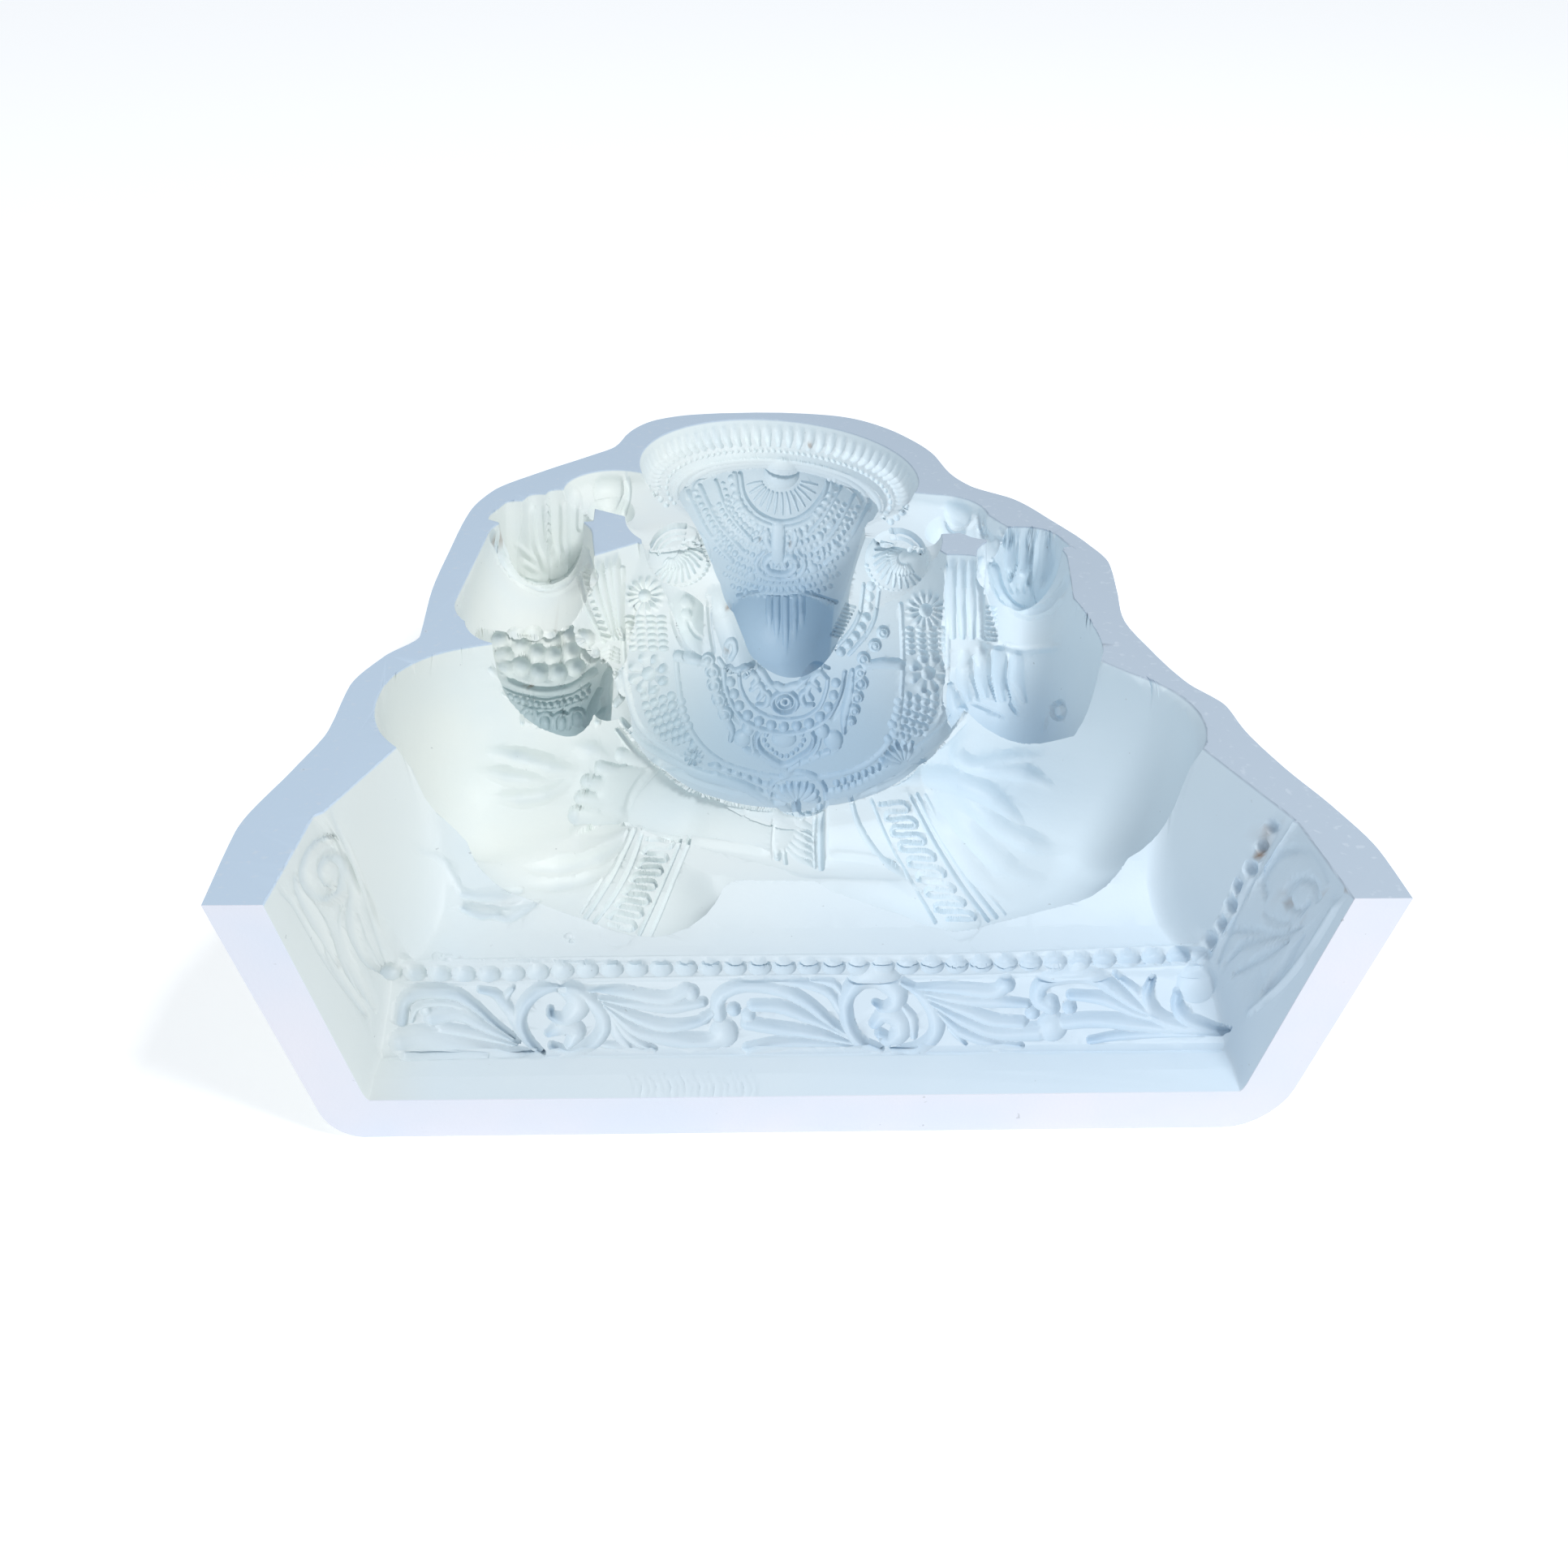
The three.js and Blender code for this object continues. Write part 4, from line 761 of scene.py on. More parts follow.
# Ears: round fans of feathered ribs with a row of grains along the lower edge.
# Two rings of short ribs slant round a small middle, under three arcs at the top.
for cx, cy, side in ((838, 684, 1), (1104, 690, -1)):
    boss((cx, cy), 38, 2.2, round_by=0.35)
    for i in range(13):
        a = np.radians(-62 + i * 15)
        for r0, r1, h in ((8, 18, 3.1), (20, 33, 3.0)):
            ridge([(cx + side * (r0 * np.cos(a) - 6), cy + r0 * np.sin(a) - 4),
                   (cx + side * (r1 * np.cos(a + 0.25) - 4), cy + r1 * np.sin(a + 0.25) - 2)], (2.2, 3, 2), h)
    beads([(cx + side * 37 * np.cos(np.radians(b)), cy + 36 * np.sin(np.radians(b))) for b in range(10, 190,
                                                                                                    20)],
          6.2, 2.9, 3, 1.8)
    for r in (26, 32, 38):
        ridge([(cx + side * r * np.cos(np.radians(b)), cy + r * np.sin(np.radians(b))) for b in range(-160,
                                                                                                      -60,
                                                                                                      20)],
              2, 2.9)

# Crown: a domed gem over hanging swags, slanting bands of grains, and a heart of two scrolls below.
# It lies deepest in the rubber, so its relief is soft.
boss((963, 583), 22, 3.2, squash=0.9, round_by=0.7)
for grow, h in ((0, 1.6), (7, 1.1)):
    ridge([(912 - grow, 584), (917 - grow * 0.8, 610 + grow), (934 - grow * 0.5, 632 + grow),
           (962, 643 + grow),
           (991 + grow * 0.5, 635 + grow), (1013 + grow * 0.8, 611 + grow), (1021 + grow, 590)], 3.2, h)
for i in range(13):
    a = np.radians(12 + i * 13)
    ridge([(963 + 25 * np.cos(a), 590 + 18 * np.sin(a)), (964 + 44 * np.cos(a), 588 + 46 * np.sin(a))],
          (1.6, 2.2, 1.2), 0.8)
for line in ([(849, 606), (873, 656), (902, 690)], [(863, 598), (885, 643), (918, 681)],
             [(882, 592), (896, 628), (926, 666)],
             [(1070, 622), (1046, 664), (1016, 694)], [(1052, 610), (1028, 652), (1004, 678)],
             [(1036, 600), (1014, 636), (994, 660)]):
    ridge(line, 2.4, 1.3)
beads([(857, 606), (881, 652), (912, 688)], 9, 3.4, 3.4, 1.3)
beads([(902, 590), (914, 624), (944, 656)], 10, 4.6, 5.5, 1.5)
beads([(891, 596), (904, 630), (934, 664)], 8, 2.6, 3, 1.1)
beads([(1028, 602), (1008, 632), (984, 656)], 10, 4.6, 5.5, 1.4)
beads([(1061, 618), (1036, 660), (1008, 688)], 9, 3.2, 3.2, 1.2)
ridge([(959, 648), (959, 668), (958, 686)], (8, 9, 8), 2.2, crown=0.3)
for s in (1, -1):
    ridge([(962, 706), (962 - s * 12, 704), (962 - s * 19, 694), (962 - s * 13, 685), (962 - s * 5, 688),
           (962 - s * 7, 696)], (3, 4, 4, 4, 3), 2.0)
    ridge([(962, 714), (962 - s * 20, 710), (962 - s * 30, 694), (962 - s * 20, 678)], (2, 3, 3, 2), 1.2)
    ridge([(962 - s * 12, 676), (962 - s * 18, 664), (962 - s * 16, 652)], (4, 4, 2), 1.4)
beads([(930, 722), (945, 728), (963, 730), (982, 728), (997, 722)], 8, 3, 3, 1.2)
ridge([(910, 734), (935, 730), (963, 731), (990, 730), (1030, 742)], 3, 1.6)
for at, end in ((948, 775), (957, 790), (968, 810), (979, 792), (988, 774)):
    ridge([(at, 736), (at, (736 + end) / 2), (at, end)], (4.4, 4.6, 2), (1.0, 1.5, 0))
for radius in range(66, 150, 9):
    arc = [(963 + radius * np.cos(a), 588 + radius * np.sin(a)) for a in np.radians(np.arange(24, 158, 6))]
    arc = [(u, v) for u, v in arc if abs(u - 963) < np.interp(v, (590, 735), (108, 62))]
    if len(arc) > 2:
        beads(arc, 8, 3, 3.4, 0.9 + 0.3 * np.sin(radius))
for at, r in (((1010, 660), 5), ((1024, 646), 4), ((1030, 672), 5), ((1002, 700), 6), ((1016, 712), 5),
              ((925, 708), 5),
              ((912, 700), 4), ((1042, 640), 4)):
    boss(at, r, 1.1)

# Halo: a fluted outer border, a ring of small grains inside it, and plain stepped rings to the crown.
# The flutes are short round cuts, evenly spaced, that stop where the raised hands begin.
def halo_point(radius, degrees):
    """Point on a ring of the halo, put into the drawing."""
    a = np.radians(degrees)
    hx = HALO_X + radius * np.cos(a)
    leant = HALO_Y + radius * np.sin(a)
    hy = leant - LEAN * hx
    point = np.array([hx, hy, -halo(hx, leant)]) - EYE
    return (SHEET / 2 + FOCAL * (point @ across) / (point @ ahead),
            SHEET / 2 + FOCAL * (point @ under) / (point @ ahead))


for i in range(40):
    a = -8 + i * 196 / 39
    ridge([halo_point(48.8, a), halo_point(45.5, a), halo_point(42.8, a)], (4.6, 4.8, 3), 1.3, crown=0.8)
beads([halo_point(40.2, a) for a in range(-25, 206, 6)], 7.5, 3.2, 2.2, 1.1)
for r in (36.5, 33, 30):
    ridge([halo_point(r, a) for a in range(-10, 191, 8)], 2.6, 0.8)
beads([halo_point(46, a) for a in range(190, 214, 4)], 9, 4, 4, 1.4)
beads([halo_point(46, a) for a in range(-34, -10, 4)], 9, 4, 4, 1.4)

# Left arms: a raised hand with four finger grooves over a bracelet, and a bowl heaped with round sweets.
# The bowl has a plain lip, a ring of beads and a collar of petals, and a curled scroll hangs beside it.
for line in ([(655, 616), (656, 640), (659, 668), (668, 690), (674, 708)],
             [(672, 612), (673, 632), (676, 662), (684, 684), (684, 704)],
             [(693, 612), (694, 640), (694, 668), (697, 682), (692, 700)],
             [(634, 668), (646, 680), (660, 694)], [(640, 690), (652, 698), (664, 708)]):
    groove(line, 6, 1.1)
ridge([(606, 655), (613, 675), (626, 700), (645, 716), (670, 722), (696, 715), (712, 698), (720, 680)], 6,
      1.9)
groove([(600, 660), (612, 686), (630, 712), (668, 733), (702, 724), (722, 696)], 3.5, 0.9)
for i in range(6):
    a = np.radians(190 - i * 27.5)
    boss((664 + 48 * np.cos(a), 676 + 46 * np.sin(a)), 3, 1.6)
boss((750, 604), 19, 2.2, squash=1.35, round_by=0.4)
groove([(734, 622), (748, 633), (762, 626), (769, 600), (766, 576)], 3.5, 1.0)
groove([(708, 596), (714, 622), (714, 650), (722, 656)], 5, 1.2)
ridge([(771, 578), (775, 606), (769, 634)], 3.5, 1.4)

SWEETS = [(618, 790), (636, 784), (657, 782), (679, 787), (701, 783), (721, 787), (622, 808), (643, 797),
          (662, 805), (682, 808),
          (704, 803), (727, 806), (642, 821), (664, 829), (687, 829), (709, 822), (624, 824)]
for at in SWEETS:
    boss(at, 12.5, 2.4, squash=0.95, round_by=0.6)
ridge([(606, 826), (622, 838), (646, 848), (676, 852), (706, 846), (732, 828)], 5, 1.0)
groove([(604, 816), (622, 830), (646, 841), (676, 845), (706, 839), (734, 818)], 3, 0.8)
for line, width, height in (([(618, 848), (640, 857), (672, 863), (704, 857), (726, 844)], 2.4, 1.0),
                            ([(628, 863), (646, 871), (674, 875), (704, 869), (722, 860)], 2.4, 1.0)):
    ridge(line, width, height)
beads([(622, 855), (642, 863), (674, 869), (704, 863), (724, 852)], 8.5, 4.2, 4.2, 1.8)
for cx, cy in ((652, 884), (672, 889), (692, 889), (711, 884)):
    ridge([(cx - 8, cy + 8), (cx - 8, cy - 5), (cx, cy - 10), (cx + 8, cy - 6), (cx + 8, cy + 8)], 3, 1.6)
    boss((cx, cy + 2), 6, 1.8, squash=1.6)
ridge([(748, 876), (745, 850), (752, 830), (764, 836), (766, 856), (758, 868)], (5, 6, 7, 6, 4), 1.7)
ridge([(722, 892), (730, 872), (738, 850)], (4, 6, 3), 1.5)
ridge([(736, 890), (744, 872)], (4, 5, 2), 1.5)
for i in range(4):
    ridge([(742, 800 + i * 5), (752, 797 + i * 5), (762, 801 + i * 5)], 2.2, 1.2)

# Pleated sleeves: the folds gather under each armpit, and a beaded strip lies between sleeve and arm.
# The left sleeve has four deep pleats, the right one four that are shallower.
for x0, x1, x2 in ((722, 738, 758), (735, 748, 761), (746, 758, 765), (757, 764, 768)):
    ridge([(x0, 685 - (x0 - 722) * 0.5), (x1, 735), (x2, 785)], (5, 6, 2), 2.3)
for i in range(11):
    cx, cy = 724 + i * 2.6, 702 + i * 8.2
    ridge([(cx - 6, cy), (cx + 6, cy + 3)], 3, 1.6)
ridge([(712, 700), (722, 745), (744, 790)], 3, 1.2)
ridge([(735, 698), (748, 745), (762, 786)], 2.4, 1.0)
for x0, x1 in ((1172, 1174), (1184, 1186), (1196, 1198), (1207, 1208)):
    ridge([(x0 + 2, 690), (x0, 735), (x1, 784)], (5, 6, 4), 1.6)
for i in range(7):
    ridge([(1212, 748 + i * 6.6), (1227, 750 + i * 6.6)], 2.4, 1.2)
ridge([(1218, 700), (1216, 730)], 3, 1.0)

# Right arms: a raised hand that holds a curled axe head, a bracelet, and the open palm below.
# The palm's fingers are long soft grooves, and a small ring is cut near its heel.
for line in ([(1256, 660), (1254, 690), (1246, 710), (1240, 716)],
             [(1277, 655), (1275, 690), (1272, 712), (1262, 716)]):
    groove(line, 4.5, 1.6)
for line in ([(1245, 668), (1243, 700)], [(1266, 656), (1264, 690), (1260, 706)],
             [(1292, 664), (1292, 696), (1286, 716)]):
    ridge(line, (6, 9, 6), 1.2, crown=1)
for i in range(4):
    groove([(1245 + i * 9, 718), (1247 + i * 8, 732)], 3, 0.9)
ridge([(1226, 700), (1232, 722), (1246, 744), (1268, 753), (1290, 746), (1308, 726), (1322, 702)], 5.5, 1.5)
groove([(1222, 706), (1230, 732), (1246, 753), (1268, 762), (1294, 754), (1314, 732)], 3.5, 1.0)
ridge([(1222, 690), (1224, 712), (1234, 736)], 3, 1.4)
boss((1180, 630), 17, 2.2, squash=1.2, round_by=0.4)
groove([(1164, 640), (1176, 655), (1192, 652), (1202, 638)], 3.5, 1.0)
ridge([(1206, 624), (1206, 648), (1212, 668)], 3, 1.4)
ridge([(1214, 626), (1213, 650), (1218, 668)], 2.4, 1.2)
ridge([(1228, 640), (1240, 634), (1252, 640), (1250, 654), (1238, 658), (1232, 650)], (4, 4, 4, 3), 1.5)
ridge([(1228, 626), (1248, 624), (1270, 634)], (3, 4, 2), 1.3)
ridge([(1222, 664), (1240, 668), (1254, 662)], (3, 4, 2), 1.2)
for line in ([(1200, 806), (1198, 830), (1204, 850), (1206, 864)],
             [(1222, 800), (1220, 834), (1226, 856), (1234, 868)],
             [(1242, 806), (1240, 836), (1244, 862), (1256, 882)]):
    groove(line, 4, 1.7)
for line in ([(1188, 806), (1186, 836), (1194, 862)], [(1210, 800), (1208, 832), (1215, 858)],
             [(1231, 803), (1230, 834), (1236, 862)], [(1254, 810), (1254, 836), (1262, 864)]):
    ridge(line, (8, 9, 4), 1.1, crown=1)
groove([(1204, 790), (1236, 796), (1270, 800), (1310, 796)], 7, 0.9)
groove([(1196, 866), (1216, 874), (1240, 886)], 3.5, 0.9)
ring((1304, 876), 8, 2.6, 1.2, squash=1.2)
groove([(1290, 880), (1288, 892), (1284, 904)], 3, 0.7)
groove([(1165, 842), (1176, 850), (1190, 872)], 4, 1.2)
ridge([(1170, 846), (1172, 862), (1178, 878)], (6, 8, 5), 1.8)

# Wear and dirt: brown stains where plaster and dust stuck, and torn rubber at the right end of the plinth.
# Each stain is a spot of the drawing broken up by noise.
def blur(field, reach):
    """Mean over a square of 2 * reach + 1 points, taken twice."""
    for _ in range(2):
        for axis in (0, 1):
            n = field.shape[axis]
            total = np.cumsum(np.insert(field, 0, 0, axis=axis), axis=axis)
            hi, lo = np.minimum(np.arange(n) + reach + 1, n), np.maximum(np.arange(n) - reach, 0)
            size = (hi - lo).reshape((-1, 1) if axis == 0 else (1, -1))
            field = (np.take(total, hi, axis) - np.take(total, lo, axis)) / size
    return field


near = 2


def mottle(reach, seed):
    """Soft noise over the skin, from about -1 to 1."""
    noise = np.random.default_rng(seed).normal(size=p.shape)
    noise = blur(noise, reach)
    return noise / (2 * noise.std())


patchy = mottle(2 * near, 5)
coarse = mottle(4 * near, 11)
stain = np.zeros(p.shape)
for at, radius, squash, strength in [
        ((652, 846), 9, 0.5, 0.9), ((675, 850), 7, 0.6, 0.9), ((680, 775), 8, 0.5, 0.8),
        ((893, 748), 10, 0.6, 0.7),
        ((903, 798), 12, 0.9, 0.35), ((940, 665), 7, 1.0, 0.4), ((975, 670), 6, 1.2, 0.4),
        ((997, 547), 7, 0.5, 0.5),
        ((837, 547), 9, 0.5, 0.6), ((822, 555), 5, 0.8, 0.5), ((1552, 1032), 17, 1.2, 0.6),
        ((1549, 1053), 12, 0.8, 0.9),
        ((1576, 1098), 9, 1.4, 0.6), ((1586, 1112), 8, 1.0, 0.4), ((1606, 1134), 16, 0.5, 0.3),
        ((1634, 1106), 6, 1.6, 0.5),
        ((1662, 1096), 10, 0.4, 0.6), ((1568, 996), 8, 0.7, 0.4), ((1582, 1010), 6, 1.4, 0.4),
        ((615, 665), 7, 1.6, 0.5),
        ((1532, 1206), 16, 0.4, 0.4), ((1565, 1216), 9, 0.5, 0.5), ((378, 1010), 5, 3.0, 0.35),
        ((572, 790), 6, 0.6, 0.4)]:
    k = window((at[0] - radius, at[1] - radius * squash), (at[0] + radius, at[1] + radius * squash))
    far = np.hypot(p[k] - at[0], (q[k] - at[1]) / squash) / radius
    stain[k] = np.maximum(stain[k], strength * ease(1, 0.4, far) * ease(-0.1, 0.6, patchy[k]))

for at, radius, squash, depth in [((1552, 1040), 26, 1.6, 0.3), ((1545, 1210), 30, 1.0, 0.6),
                                  ((1640, 1098), 30, 0.7, 0.4),
                                  ((1580, 1100), 34, 1.3, 0.12), ((410, 1010), 26, 1.4, 0.3),
                                  ((500, 1190), 16, 1.2, 0.3)]:
    k = window((at[0] - radius, at[1] - radius * squash), (at[0] + radius, at[1] + radius * squash))
    far = np.hypot(p[k] - at[0], (q[k] - at[1]) / squash) / radius
    sink(k, depth * ease(1, 0.3, far) * np.clip(coarse[k] + 0.5 * patchy[k], -1, 1))

# White flakes of cured rubber stuck on the cushion, and the fine scratches along the foot band.
# The scratches are a short row of fine strokes side by side.
for at, radius in [((541, 1179), 9), ((552, 1181), 8), ((568, 1180), 5), ((700, 1154), 8), ((704, 1160), 6),
                   ((691, 1216), 7)]:
    k = window(np.array(at) - radius, np.array(at) + radius)
    far = np.hypot(p[k] - at[0], (q[k] - at[1]) * 1.6) / radius
    sink(k, 0.7 * ease(0.9, 0.6, far + 0.5 * patchy[k]))
for i in range(26):
    px0 = 772 + i * 6 + 3 * np.sin(2.1 * i)
    groove([(px0, 1322 + 6 * np.sin(1.7 * i)), (px0 + 10, 1338), (px0 + 8, 1352 + 4 * np.sin(2.9 * i))],
           1.6, 0.16)

# Carving fades out at the rims that hide other parts and on walls seen edge on, then goes into the skin.
# How enclosed each point lies and where the carving creases are kept with it: the deep hollow and the creases
# get painted shade, a darker colour that stands in for their shadow.
facing = -(out * seen_from).sum(-1) / np.linalg.norm(seen_from, axis=-1)
relief *= ease(0.02, 0.1, facing) * np.clip(2 * blur(shown.astype(float), 2 * near) - 1, 0, 1)
surface = base - out * (relief * ease(0.8, 7, -z))[..., None]
surface[..., 2] = np.minimum(surface[..., 2], 0)
# Painted crease shade: where the carving cuts deeper into the rubber than round about, the colour is darkened
# later.
crease_shade = np.tanh((relief - blur(relief, 3 * near)) / 1.9)
# Painted shade: darker deep in the hollow above the lap, round the face under the crown, and over the halo.
face_shade = 0.8 * ease(30, 6, np.hypot(x - 1, 0.8 * (y - 238)))
halo_shade = 0.35 * ease(42, 28, np.hypot(x, y - 264))
enclosure_shade = np.minimum(ease(24, 57, -z) * ease(95, 150, y) + np.maximum(face_shade, halo_shade), 1)

# Block of rubber round the hollow: drafted sides, rounded lower edges, a flat underside.
# The base end was trimmed with a knife in one plane, and shows the wall round the hollow.
left_side = surface[:, 0]
crown_side = surface[-1, 1:-1]
right_side = surface[::-1, -1]
rim = np.concatenate([left_side, crown_side, right_side])


def shell(rim, angle):
    """Rim moved in by the draft for its depth, then round the lower corner by the angle."""
    x, y = rim[:, 0], rim[:, 1]
    draft = 22 + (9 - 22) * ease(30, 85, y)
    draft = draft + (14 - draft) * ease(230, 300, y)
    corner = np.where(x < 0, 8.0, 13.0)
    depth = HEIGHT - corner + corner * np.sin(angle)
    inset = draft * depth / HEIGHT + corner * (1 - np.cos(angle))
    scale = 1 - inset / np.maximum(np.abs(x), 60)
    return np.stack([x * scale, y - inset * ease(200, LENGTH, y), -depth], -1)


levels = [shell(rim, a) for a in np.radians(np.linspace(0, 90, 8))]
mid = [rim + (levels[0] - rim) * t for t in (0.25, 0.5, 0.75)]
rings = mid + levels
grid = np.arange(ROWS * COLUMNS).reshape(ROWS, COLUMNS)
quads = [np.stack([grid[:-1, :-1], grid[:-1, 1:], grid[1:, 1:], grid[1:, :-1]], -1).reshape(-1, 4)]
ring = [np.concatenate([grid[:, 0], grid[-1, 1:-1], grid[::-1, -1]])]
for k in range(len(rings)):
    ring.append(ROWS * COLUMNS + k * len(rim) + np.arange(len(rim)))
for upper, lower in zip(ring, ring[1:]):
    quads.append(np.stack([upper[:-1], upper[1:], lower[1:], lower[:-1]], -1))
underside = ring[-1][::-1]
cut_face = np.concatenate([grid[0], [r[-1] for r in ring[1:]], [r[0] for r in ring[:0:-1]]])

points = np.concatenate([surface.reshape(-1, 3)] + rings)
points = (points + [0, -LENGTH / 2, HEIGHT]) / 1000
quads = np.concatenate(quads)
loops = np.concatenate([quads.ravel(), underside, cut_face])
sizes = np.concatenate([np.full(len(quads), 4), [len(underside), len(cut_face)]])


def new_mesh(name, points, loops, sizes):
    """Mesh from all its points at once, and faces as runs of corners."""
    mesh = bpy.data.meshes.new(name)
    mesh.vertices.add(len(points))
    mesh.vertices.foreach_set("co", points.astype(np.float32).ravel())
    mesh.loops.add(len(loops))
    mesh.loops.foreach_set("vertex_index", loops.astype(np.int32))
    mesh.polygons.add(len(sizes))
    starts = np.concatenate([[0], np.cumsum(sizes)[:-1]])
    mesh.polygons.foreach_set("loop_start", starts.astype(np.int32))
    mesh.update(calc_edges=True)
    return mesh


TRIANGLES = 190000
fine_mesh = new_mesh("mould_fine", points, loops, sizes)
for name, values in (("crease_shade", crease_shade), ("enclosure_shade", enclosure_shade), ("stain", stain)):
    kept = fine_mesh.attributes.new(name, "FLOAT", "POINT")
    kept.data.foreach_set("value", np.concatenate([values.ravel(),
                                                   np.zeros(len(points) - values.size)]).astype(np.float32))
mould = bpy.data.objects.new("mould_rubber", fine_mesh)
bpy.context.scene.collection.objects.link(mould)
thin = mould.modifiers.new("thin", "DECIMATE")
thin.ratio = TRIANGLES / (2 * len(quads) + len(underside) + len(cut_face))
graph = bpy.context.evaluated_depsgraph_get()
mould.data = bpy.data.meshes.new_from_object(mould.evaluated_get(graph))
mould.modifiers.clear()
bpy.data.meshes.remove(fine_mesh)
mould.data.name = "mould_rubber"
mould.data.polygons.foreach_set("use_smooth", np.ones(len(mould.data.polygons), bool))
mould.data.set_sharp_from_angle(angle=np.radians(52))
mould.data.validate()
even = mould.modifiers.new("even", "WEIGHTED_NORMAL")
even.keep_sharp = True
even.weight = 60


# Silicone rubber: pale blue-white, satin and a little clouded, with painted light and shade on it: a warmer
# lit white on the left, a bluer shaded white on the right, and painted shade towards the open end, deep in
# the hollow and in the creases. The parting face and the outside are greyer and finely speckled, and the
# knife-cut base is nearly white and faintly cloudy.
def fill(tree, socket, value):
    """Links a value to a socket, or sets the socket to a plain number or colour."""
    if isinstance(value, Value):
        tree.links.new(value.socket, socket)
    else:
        socket.default_value = value


class Value:
    """A socket that takes part in arithmetic: each operator adds one Math node."""

    def __init__(self, tree, socket):
        self.tree, self.socket = tree, socket

    def math(self, operation, *others):
        node = self.tree.nodes.new("ShaderNodeMath")
        node.operation = operation
        for slot, value in zip(node.inputs, (self,) + others):
            fill(self.tree, slot, value)
        return Value(self.tree, node.outputs[0])

    def __add__(self, o):
        return self.math("ADD", o)

    def __mul__(self, o):
        return self.math("MULTIPLY", o)

    def __rsub__(self, o):
        return (self * -1) + o

    __radd__, __rmul__ = __add__, __mul__

    def step(self, low, high):
        """0 below low, 1 above high, smooth between."""
        node = self.tree.nodes.new("ShaderNodeMapRange")
        node.interpolation_type = "SMOOTHSTEP"
        self.tree.links.new(self.socket, node.inputs["Value"])
        node.inputs["From Min"].default_value = low
        node.inputs["From Max"].default_value = high
        return Value(self.tree, node.outputs["Result"])


class Finish:
    """A material's node tree: one method makes any node, and one mixes colours."""

    def __init__(self, name):
        self.material = bpy.data.materials.new(name)
        self.material.use_nodes = True
        self.tree = self.material.node_tree
        self.shader = self.tree.nodes["Principled BSDF"]

    def node(self, kind, settings=(), out=0, **inputs):
        """One node: settings first, then values or links by socket name."""
        node = self.tree.nodes.new(kind)
        for key, value in dict(settings).items():
            setattr(node, key, value)
        for key, value in inputs.items():
            fill(self.tree, node.inputs[key.replace("_", " ")], value)
        return Value(self.tree, node.outputs[out])

    def mix(self, mask, a, b):
        """Colour a where the mask is 0, b where it is 1."""
        node = self.tree.nodes.new("ShaderNodeMix")
        node.data_type = "RGBA"
        for slot, value in ((node.inputs[0], mask), (node.inputs[6], a), (node.inputs[7], b)):
            fill(self.tree, slot, value)
        return Value(self.tree, node.outputs[2])

    def feed(self, **sockets):
        """Links or sets the shader's own sockets."""
        for key, value in sockets.items():
            fill(self.tree, self.shader.inputs[key.replace("_", " ")], value)


def rgb(r, g, b):
    """Linear colour from the 0 to 255 values of a colour chart."""
    c = np.array([r, g, b]) / 255
    return (*np.where(c < 0.04045, c / 12.92, ((c + 0.055) / 1.055) ** 2.4), 1)


silicone = Finish("silicone_rubber")
place = silicone.node("ShaderNodeTexCoord", out="Object")
px = silicone.node("ShaderNodeSeparateXYZ", out=0, Vector=place)
py = silicone.node("ShaderNodeSeparateXYZ", out=1, Vector=place)
pz = silicone.node("ShaderNodeSeparateXYZ", out=2, Vector=place)
cloud = silicone.node("ShaderNodeTexNoise", Vector=place, Scale=18.0, Detail=4.0)
grain = silicone.node("ShaderNodeTexNoise", Vector=place, Scale=900.0, Detail=3.0)
speck = silicone.node("ShaderNodeTexNoise", Vector=place, Scale=420.0, Detail=2.0)
parting = pz.step(0.0712, 0.0719)
cut = py.step(-0.1607, -0.1609)
# Painted crease shade, carried on the mesh.
crease_shade = silicone.node("ShaderNodeAttribute", {"attribute_name": "crease_shade"}, out=2)
# Painted shade of the deep hollow, the face and the halo, carried on the mesh.
enclosure_shade = silicone.node("ShaderNodeAttribute", {"attribute_name": "enclosure_shade"}, out=2)
# Painted shade: the colour darkens towards the open end, over the plinth and the lower legs.
front = py.step(-0.06, -0.15)
stain = silicone.node("ShaderNodeAttribute", {"attribute_name": "stain"}, out=2)
# Painted light: a warmer lit white on the left side and a bluer shaded white on the right, as the light falls
# on them.
skin = silicone.mix(px.step(-0.09, 0.09), rgb(244, 248, 242), rgb(232, 246, 254))
skin = silicone.mix(cloud.step(0.35, 0.75) * 0.4, skin, rgb(218, 234, 244))
# Painted shade towards the open end: a darker, bluer white.
skin = silicone.mix(front * 0.5, skin, rgb(192, 212, 230))
# Painted light on the far left wall: a greyer, warm lit white.
skin = silicone.mix(px.step(-0.09, -0.115) * 0.75, skin, rgb(216, 220, 214))
# Painted shade colour for the deep hollow, greyer on the left and bluer on the right, mixed in where the
# hollow is enclosed.
deep_shade_colour = silicone.mix(px.step(-0.07, 0.01), rgb(158, 184, 192), rgb(156, 187, 211))
skin = silicone.mix(enclosure_shade * 0.75, skin, deep_shade_colour)
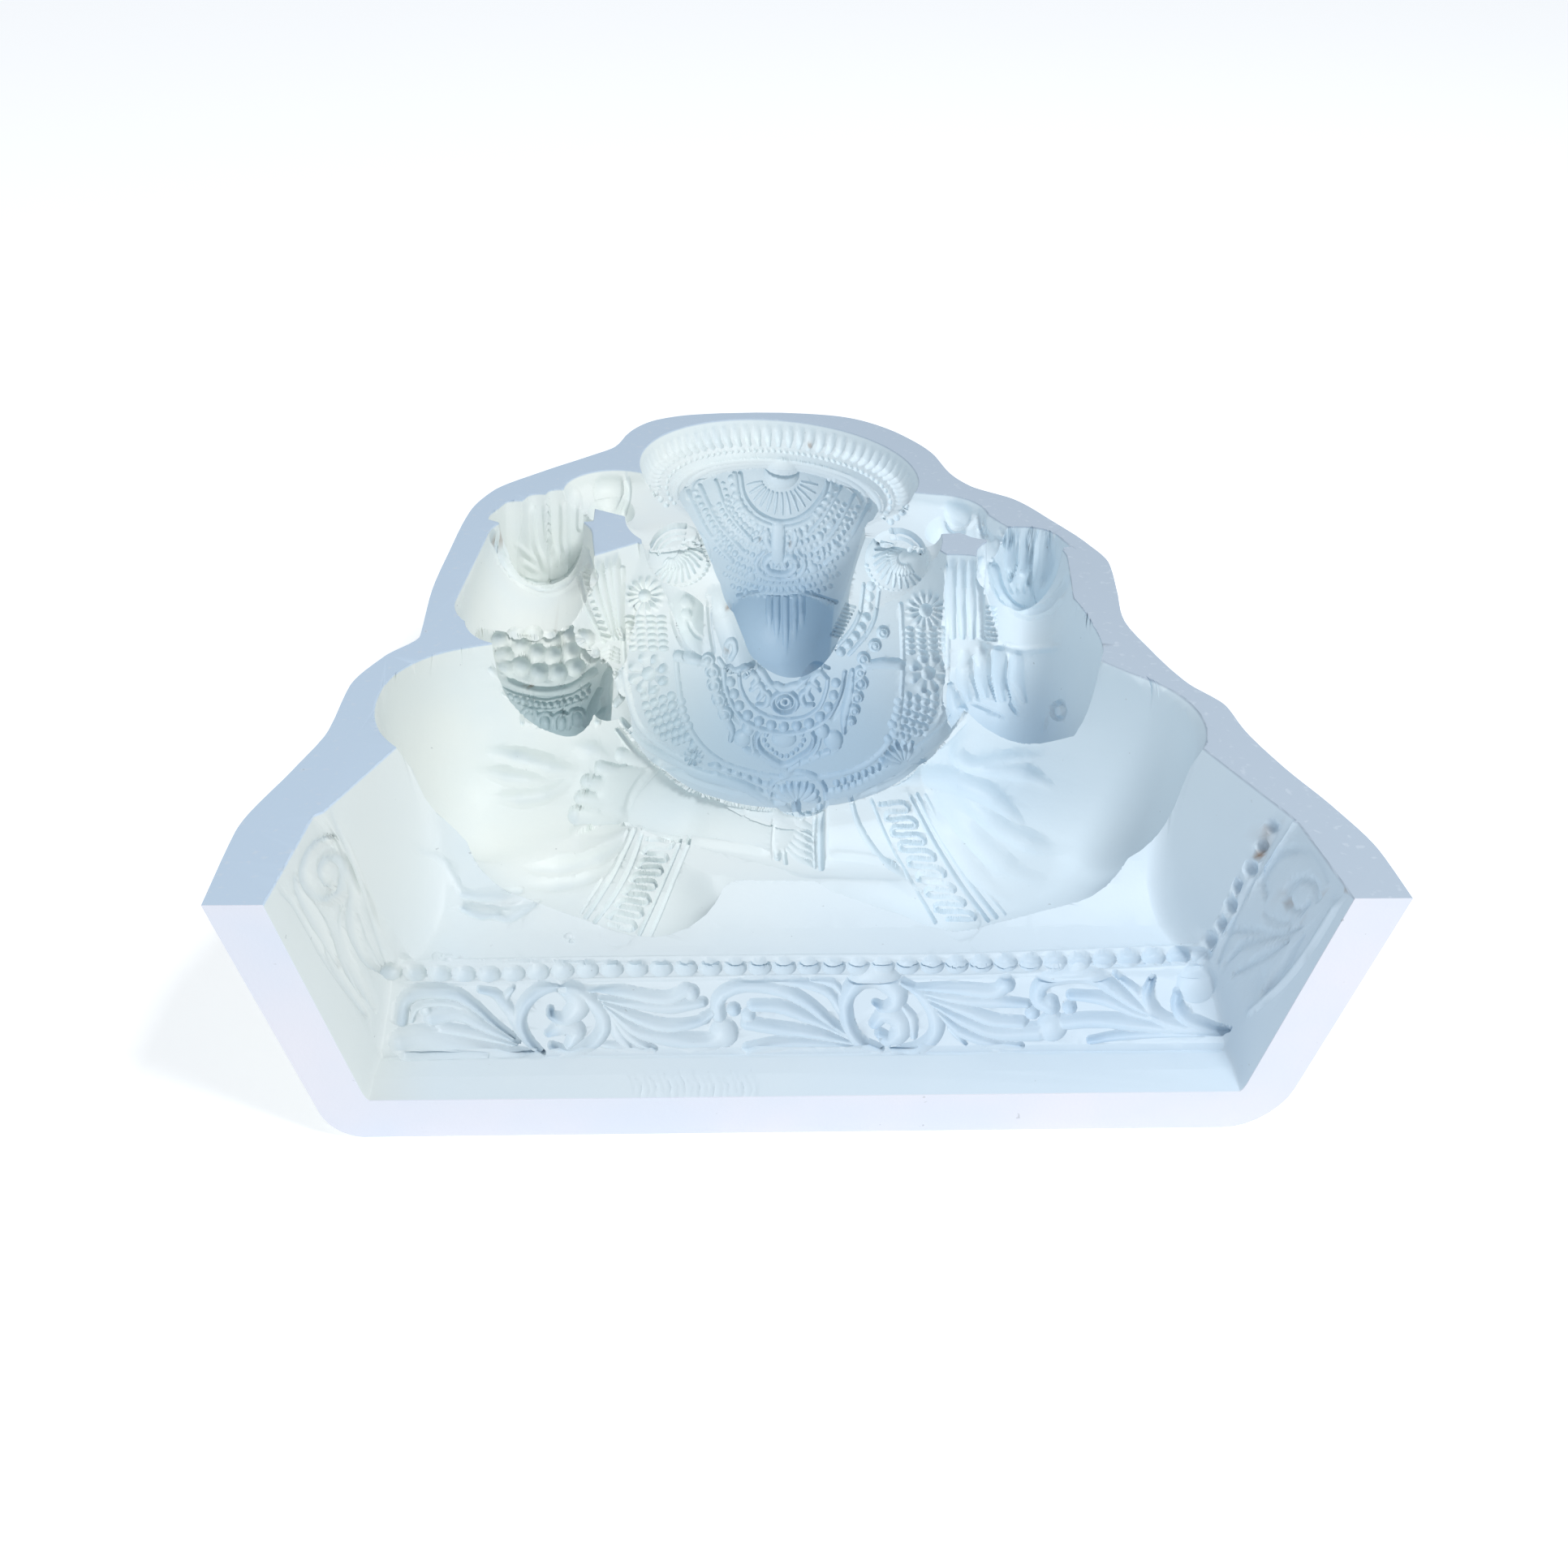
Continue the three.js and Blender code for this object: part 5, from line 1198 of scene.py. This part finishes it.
# Painted crease shade: a darker blue-grey, a little stronger towards the open end and weaker where the hollow
# already has painted shade.
skin = silicone.mix(crease_shade.step(0.0, 1.0) * (0.44 + front * 0.08) * (1 - enclosure_shade * 0.6), skin,
                    rgb(148, 176, 200))
skin = silicone.mix(stain, skin, rgb(140, 104, 70))
face = silicone.mix(px.step(-0.12, 0.12), rgb(198, 216, 233), rgb(188, 202, 216))
face = silicone.mix(speck.step(0.6, 0.72) * 0.5, face, rgb(210, 221, 232))
colour = silicone.mix(parting, skin, face)
colour = silicone.mix(cut, colour, silicone.mix(cloud.step(0.35, 0.7), rgb(222, 229, 241),
                                                rgb(232, 232, 240)))
colour = silicone.mix(speck.step(0.75, 0.79) * 0.4, colour, rgb(150, 155, 158))
silicone.feed(Base_Color=colour, Roughness=0.42 + 0.12 * cloud, IOR=1.41)
bump = silicone.node("ShaderNodeBump", Height=grain, Strength=0.12, Distance=0.0003)
silicone.feed(Normal=bump)
mould.data.materials.clear()
mould.data.materials.append(silicone.material)
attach(mould, "root")
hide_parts("mould_half")


# Plain pale floor under the mould, wide enough to have no edge in view.
# It glows a little by itself, so that it stays white up to the mould's edge.
floor = bpy.data.objects.new("floor", new_mesh(
    "floor", np.array([[-3, -3, 0], [3, -3, 0], [3, 3, 0], [-3, 3, 0.0]]), np.arange(4), np.array([4])))
bpy.context.scene.collection.objects.link(floor)
ground = Finish("pale_floor")
ground.feed(Base_Color=rgb(250, 250, 250), Roughness=0.9, Emission_Color=rgb(255, 255, 255),
            Emission_Strength=0.42)
floor.data.materials.append(ground.material)

# Soft studio light: a pale sky all round and one panel in front, over the open end.
# The view transform is Standard, because the rubber's whites are plain.
bpy.context.scene.view_settings.view_transform = "Standard"
world = bpy.data.worlds.new("studio")
bpy.context.scene.world = world
world.use_nodes = True
world.node_tree.nodes["Background"].inputs["Color"].default_value = rgb(235, 242, 250)
world.node_tree.nodes["Background"].inputs["Strength"].default_value = 0.56


def panel(name, place, target, size, power):
    """Square area light at a place, turned towards a target."""
    data = bpy.data.lights.new(name, "AREA")
    data.size, data.energy = size, power
    lamp = bpy.data.objects.new(name, data)
    back = np.array(place, float) - target
    back /= np.linalg.norm(back)
    side = np.cross([0, 1, 0.001], back)
    side /= np.linalg.norm(side)
    up = np.cross(back, side)
    lamp.matrix_world = Matrix([(*row, t) for row, t in zip(np.stack([side, up, back], 1), place)] + [(0, 0,
                                                                                                       0, 1)])
    bpy.context.scene.collection.objects.link(lamp)


panel("window", (0.6, -0.6, 1.3), (0, 0, 0.03), 0.35, 11.5)

# Camera at the photograph's place: 32 degrees above the parting face, a little to the left.
# It uses the same line of sight as the carving's drawing.
camera = bpy.data.objects.new("camera", bpy.data.cameras.new("camera"))
camera.data.sensor_width = 36
camera.data.lens = FOCAL / SHEET * 36
camera.data.clip_start = 0.01
turn = np.stack([across, -under, -ahead], 1)
spot = (EYE + [0, -LENGTH / 2, HEIGHT]) / 1000
camera.matrix_world = Matrix([(*row, t) for row, t in zip(turn, spot)] + [(0, 0, 0, 1)])
bpy.context.scene.collection.objects.link(camera)
bpy.context.scene.camera = camera
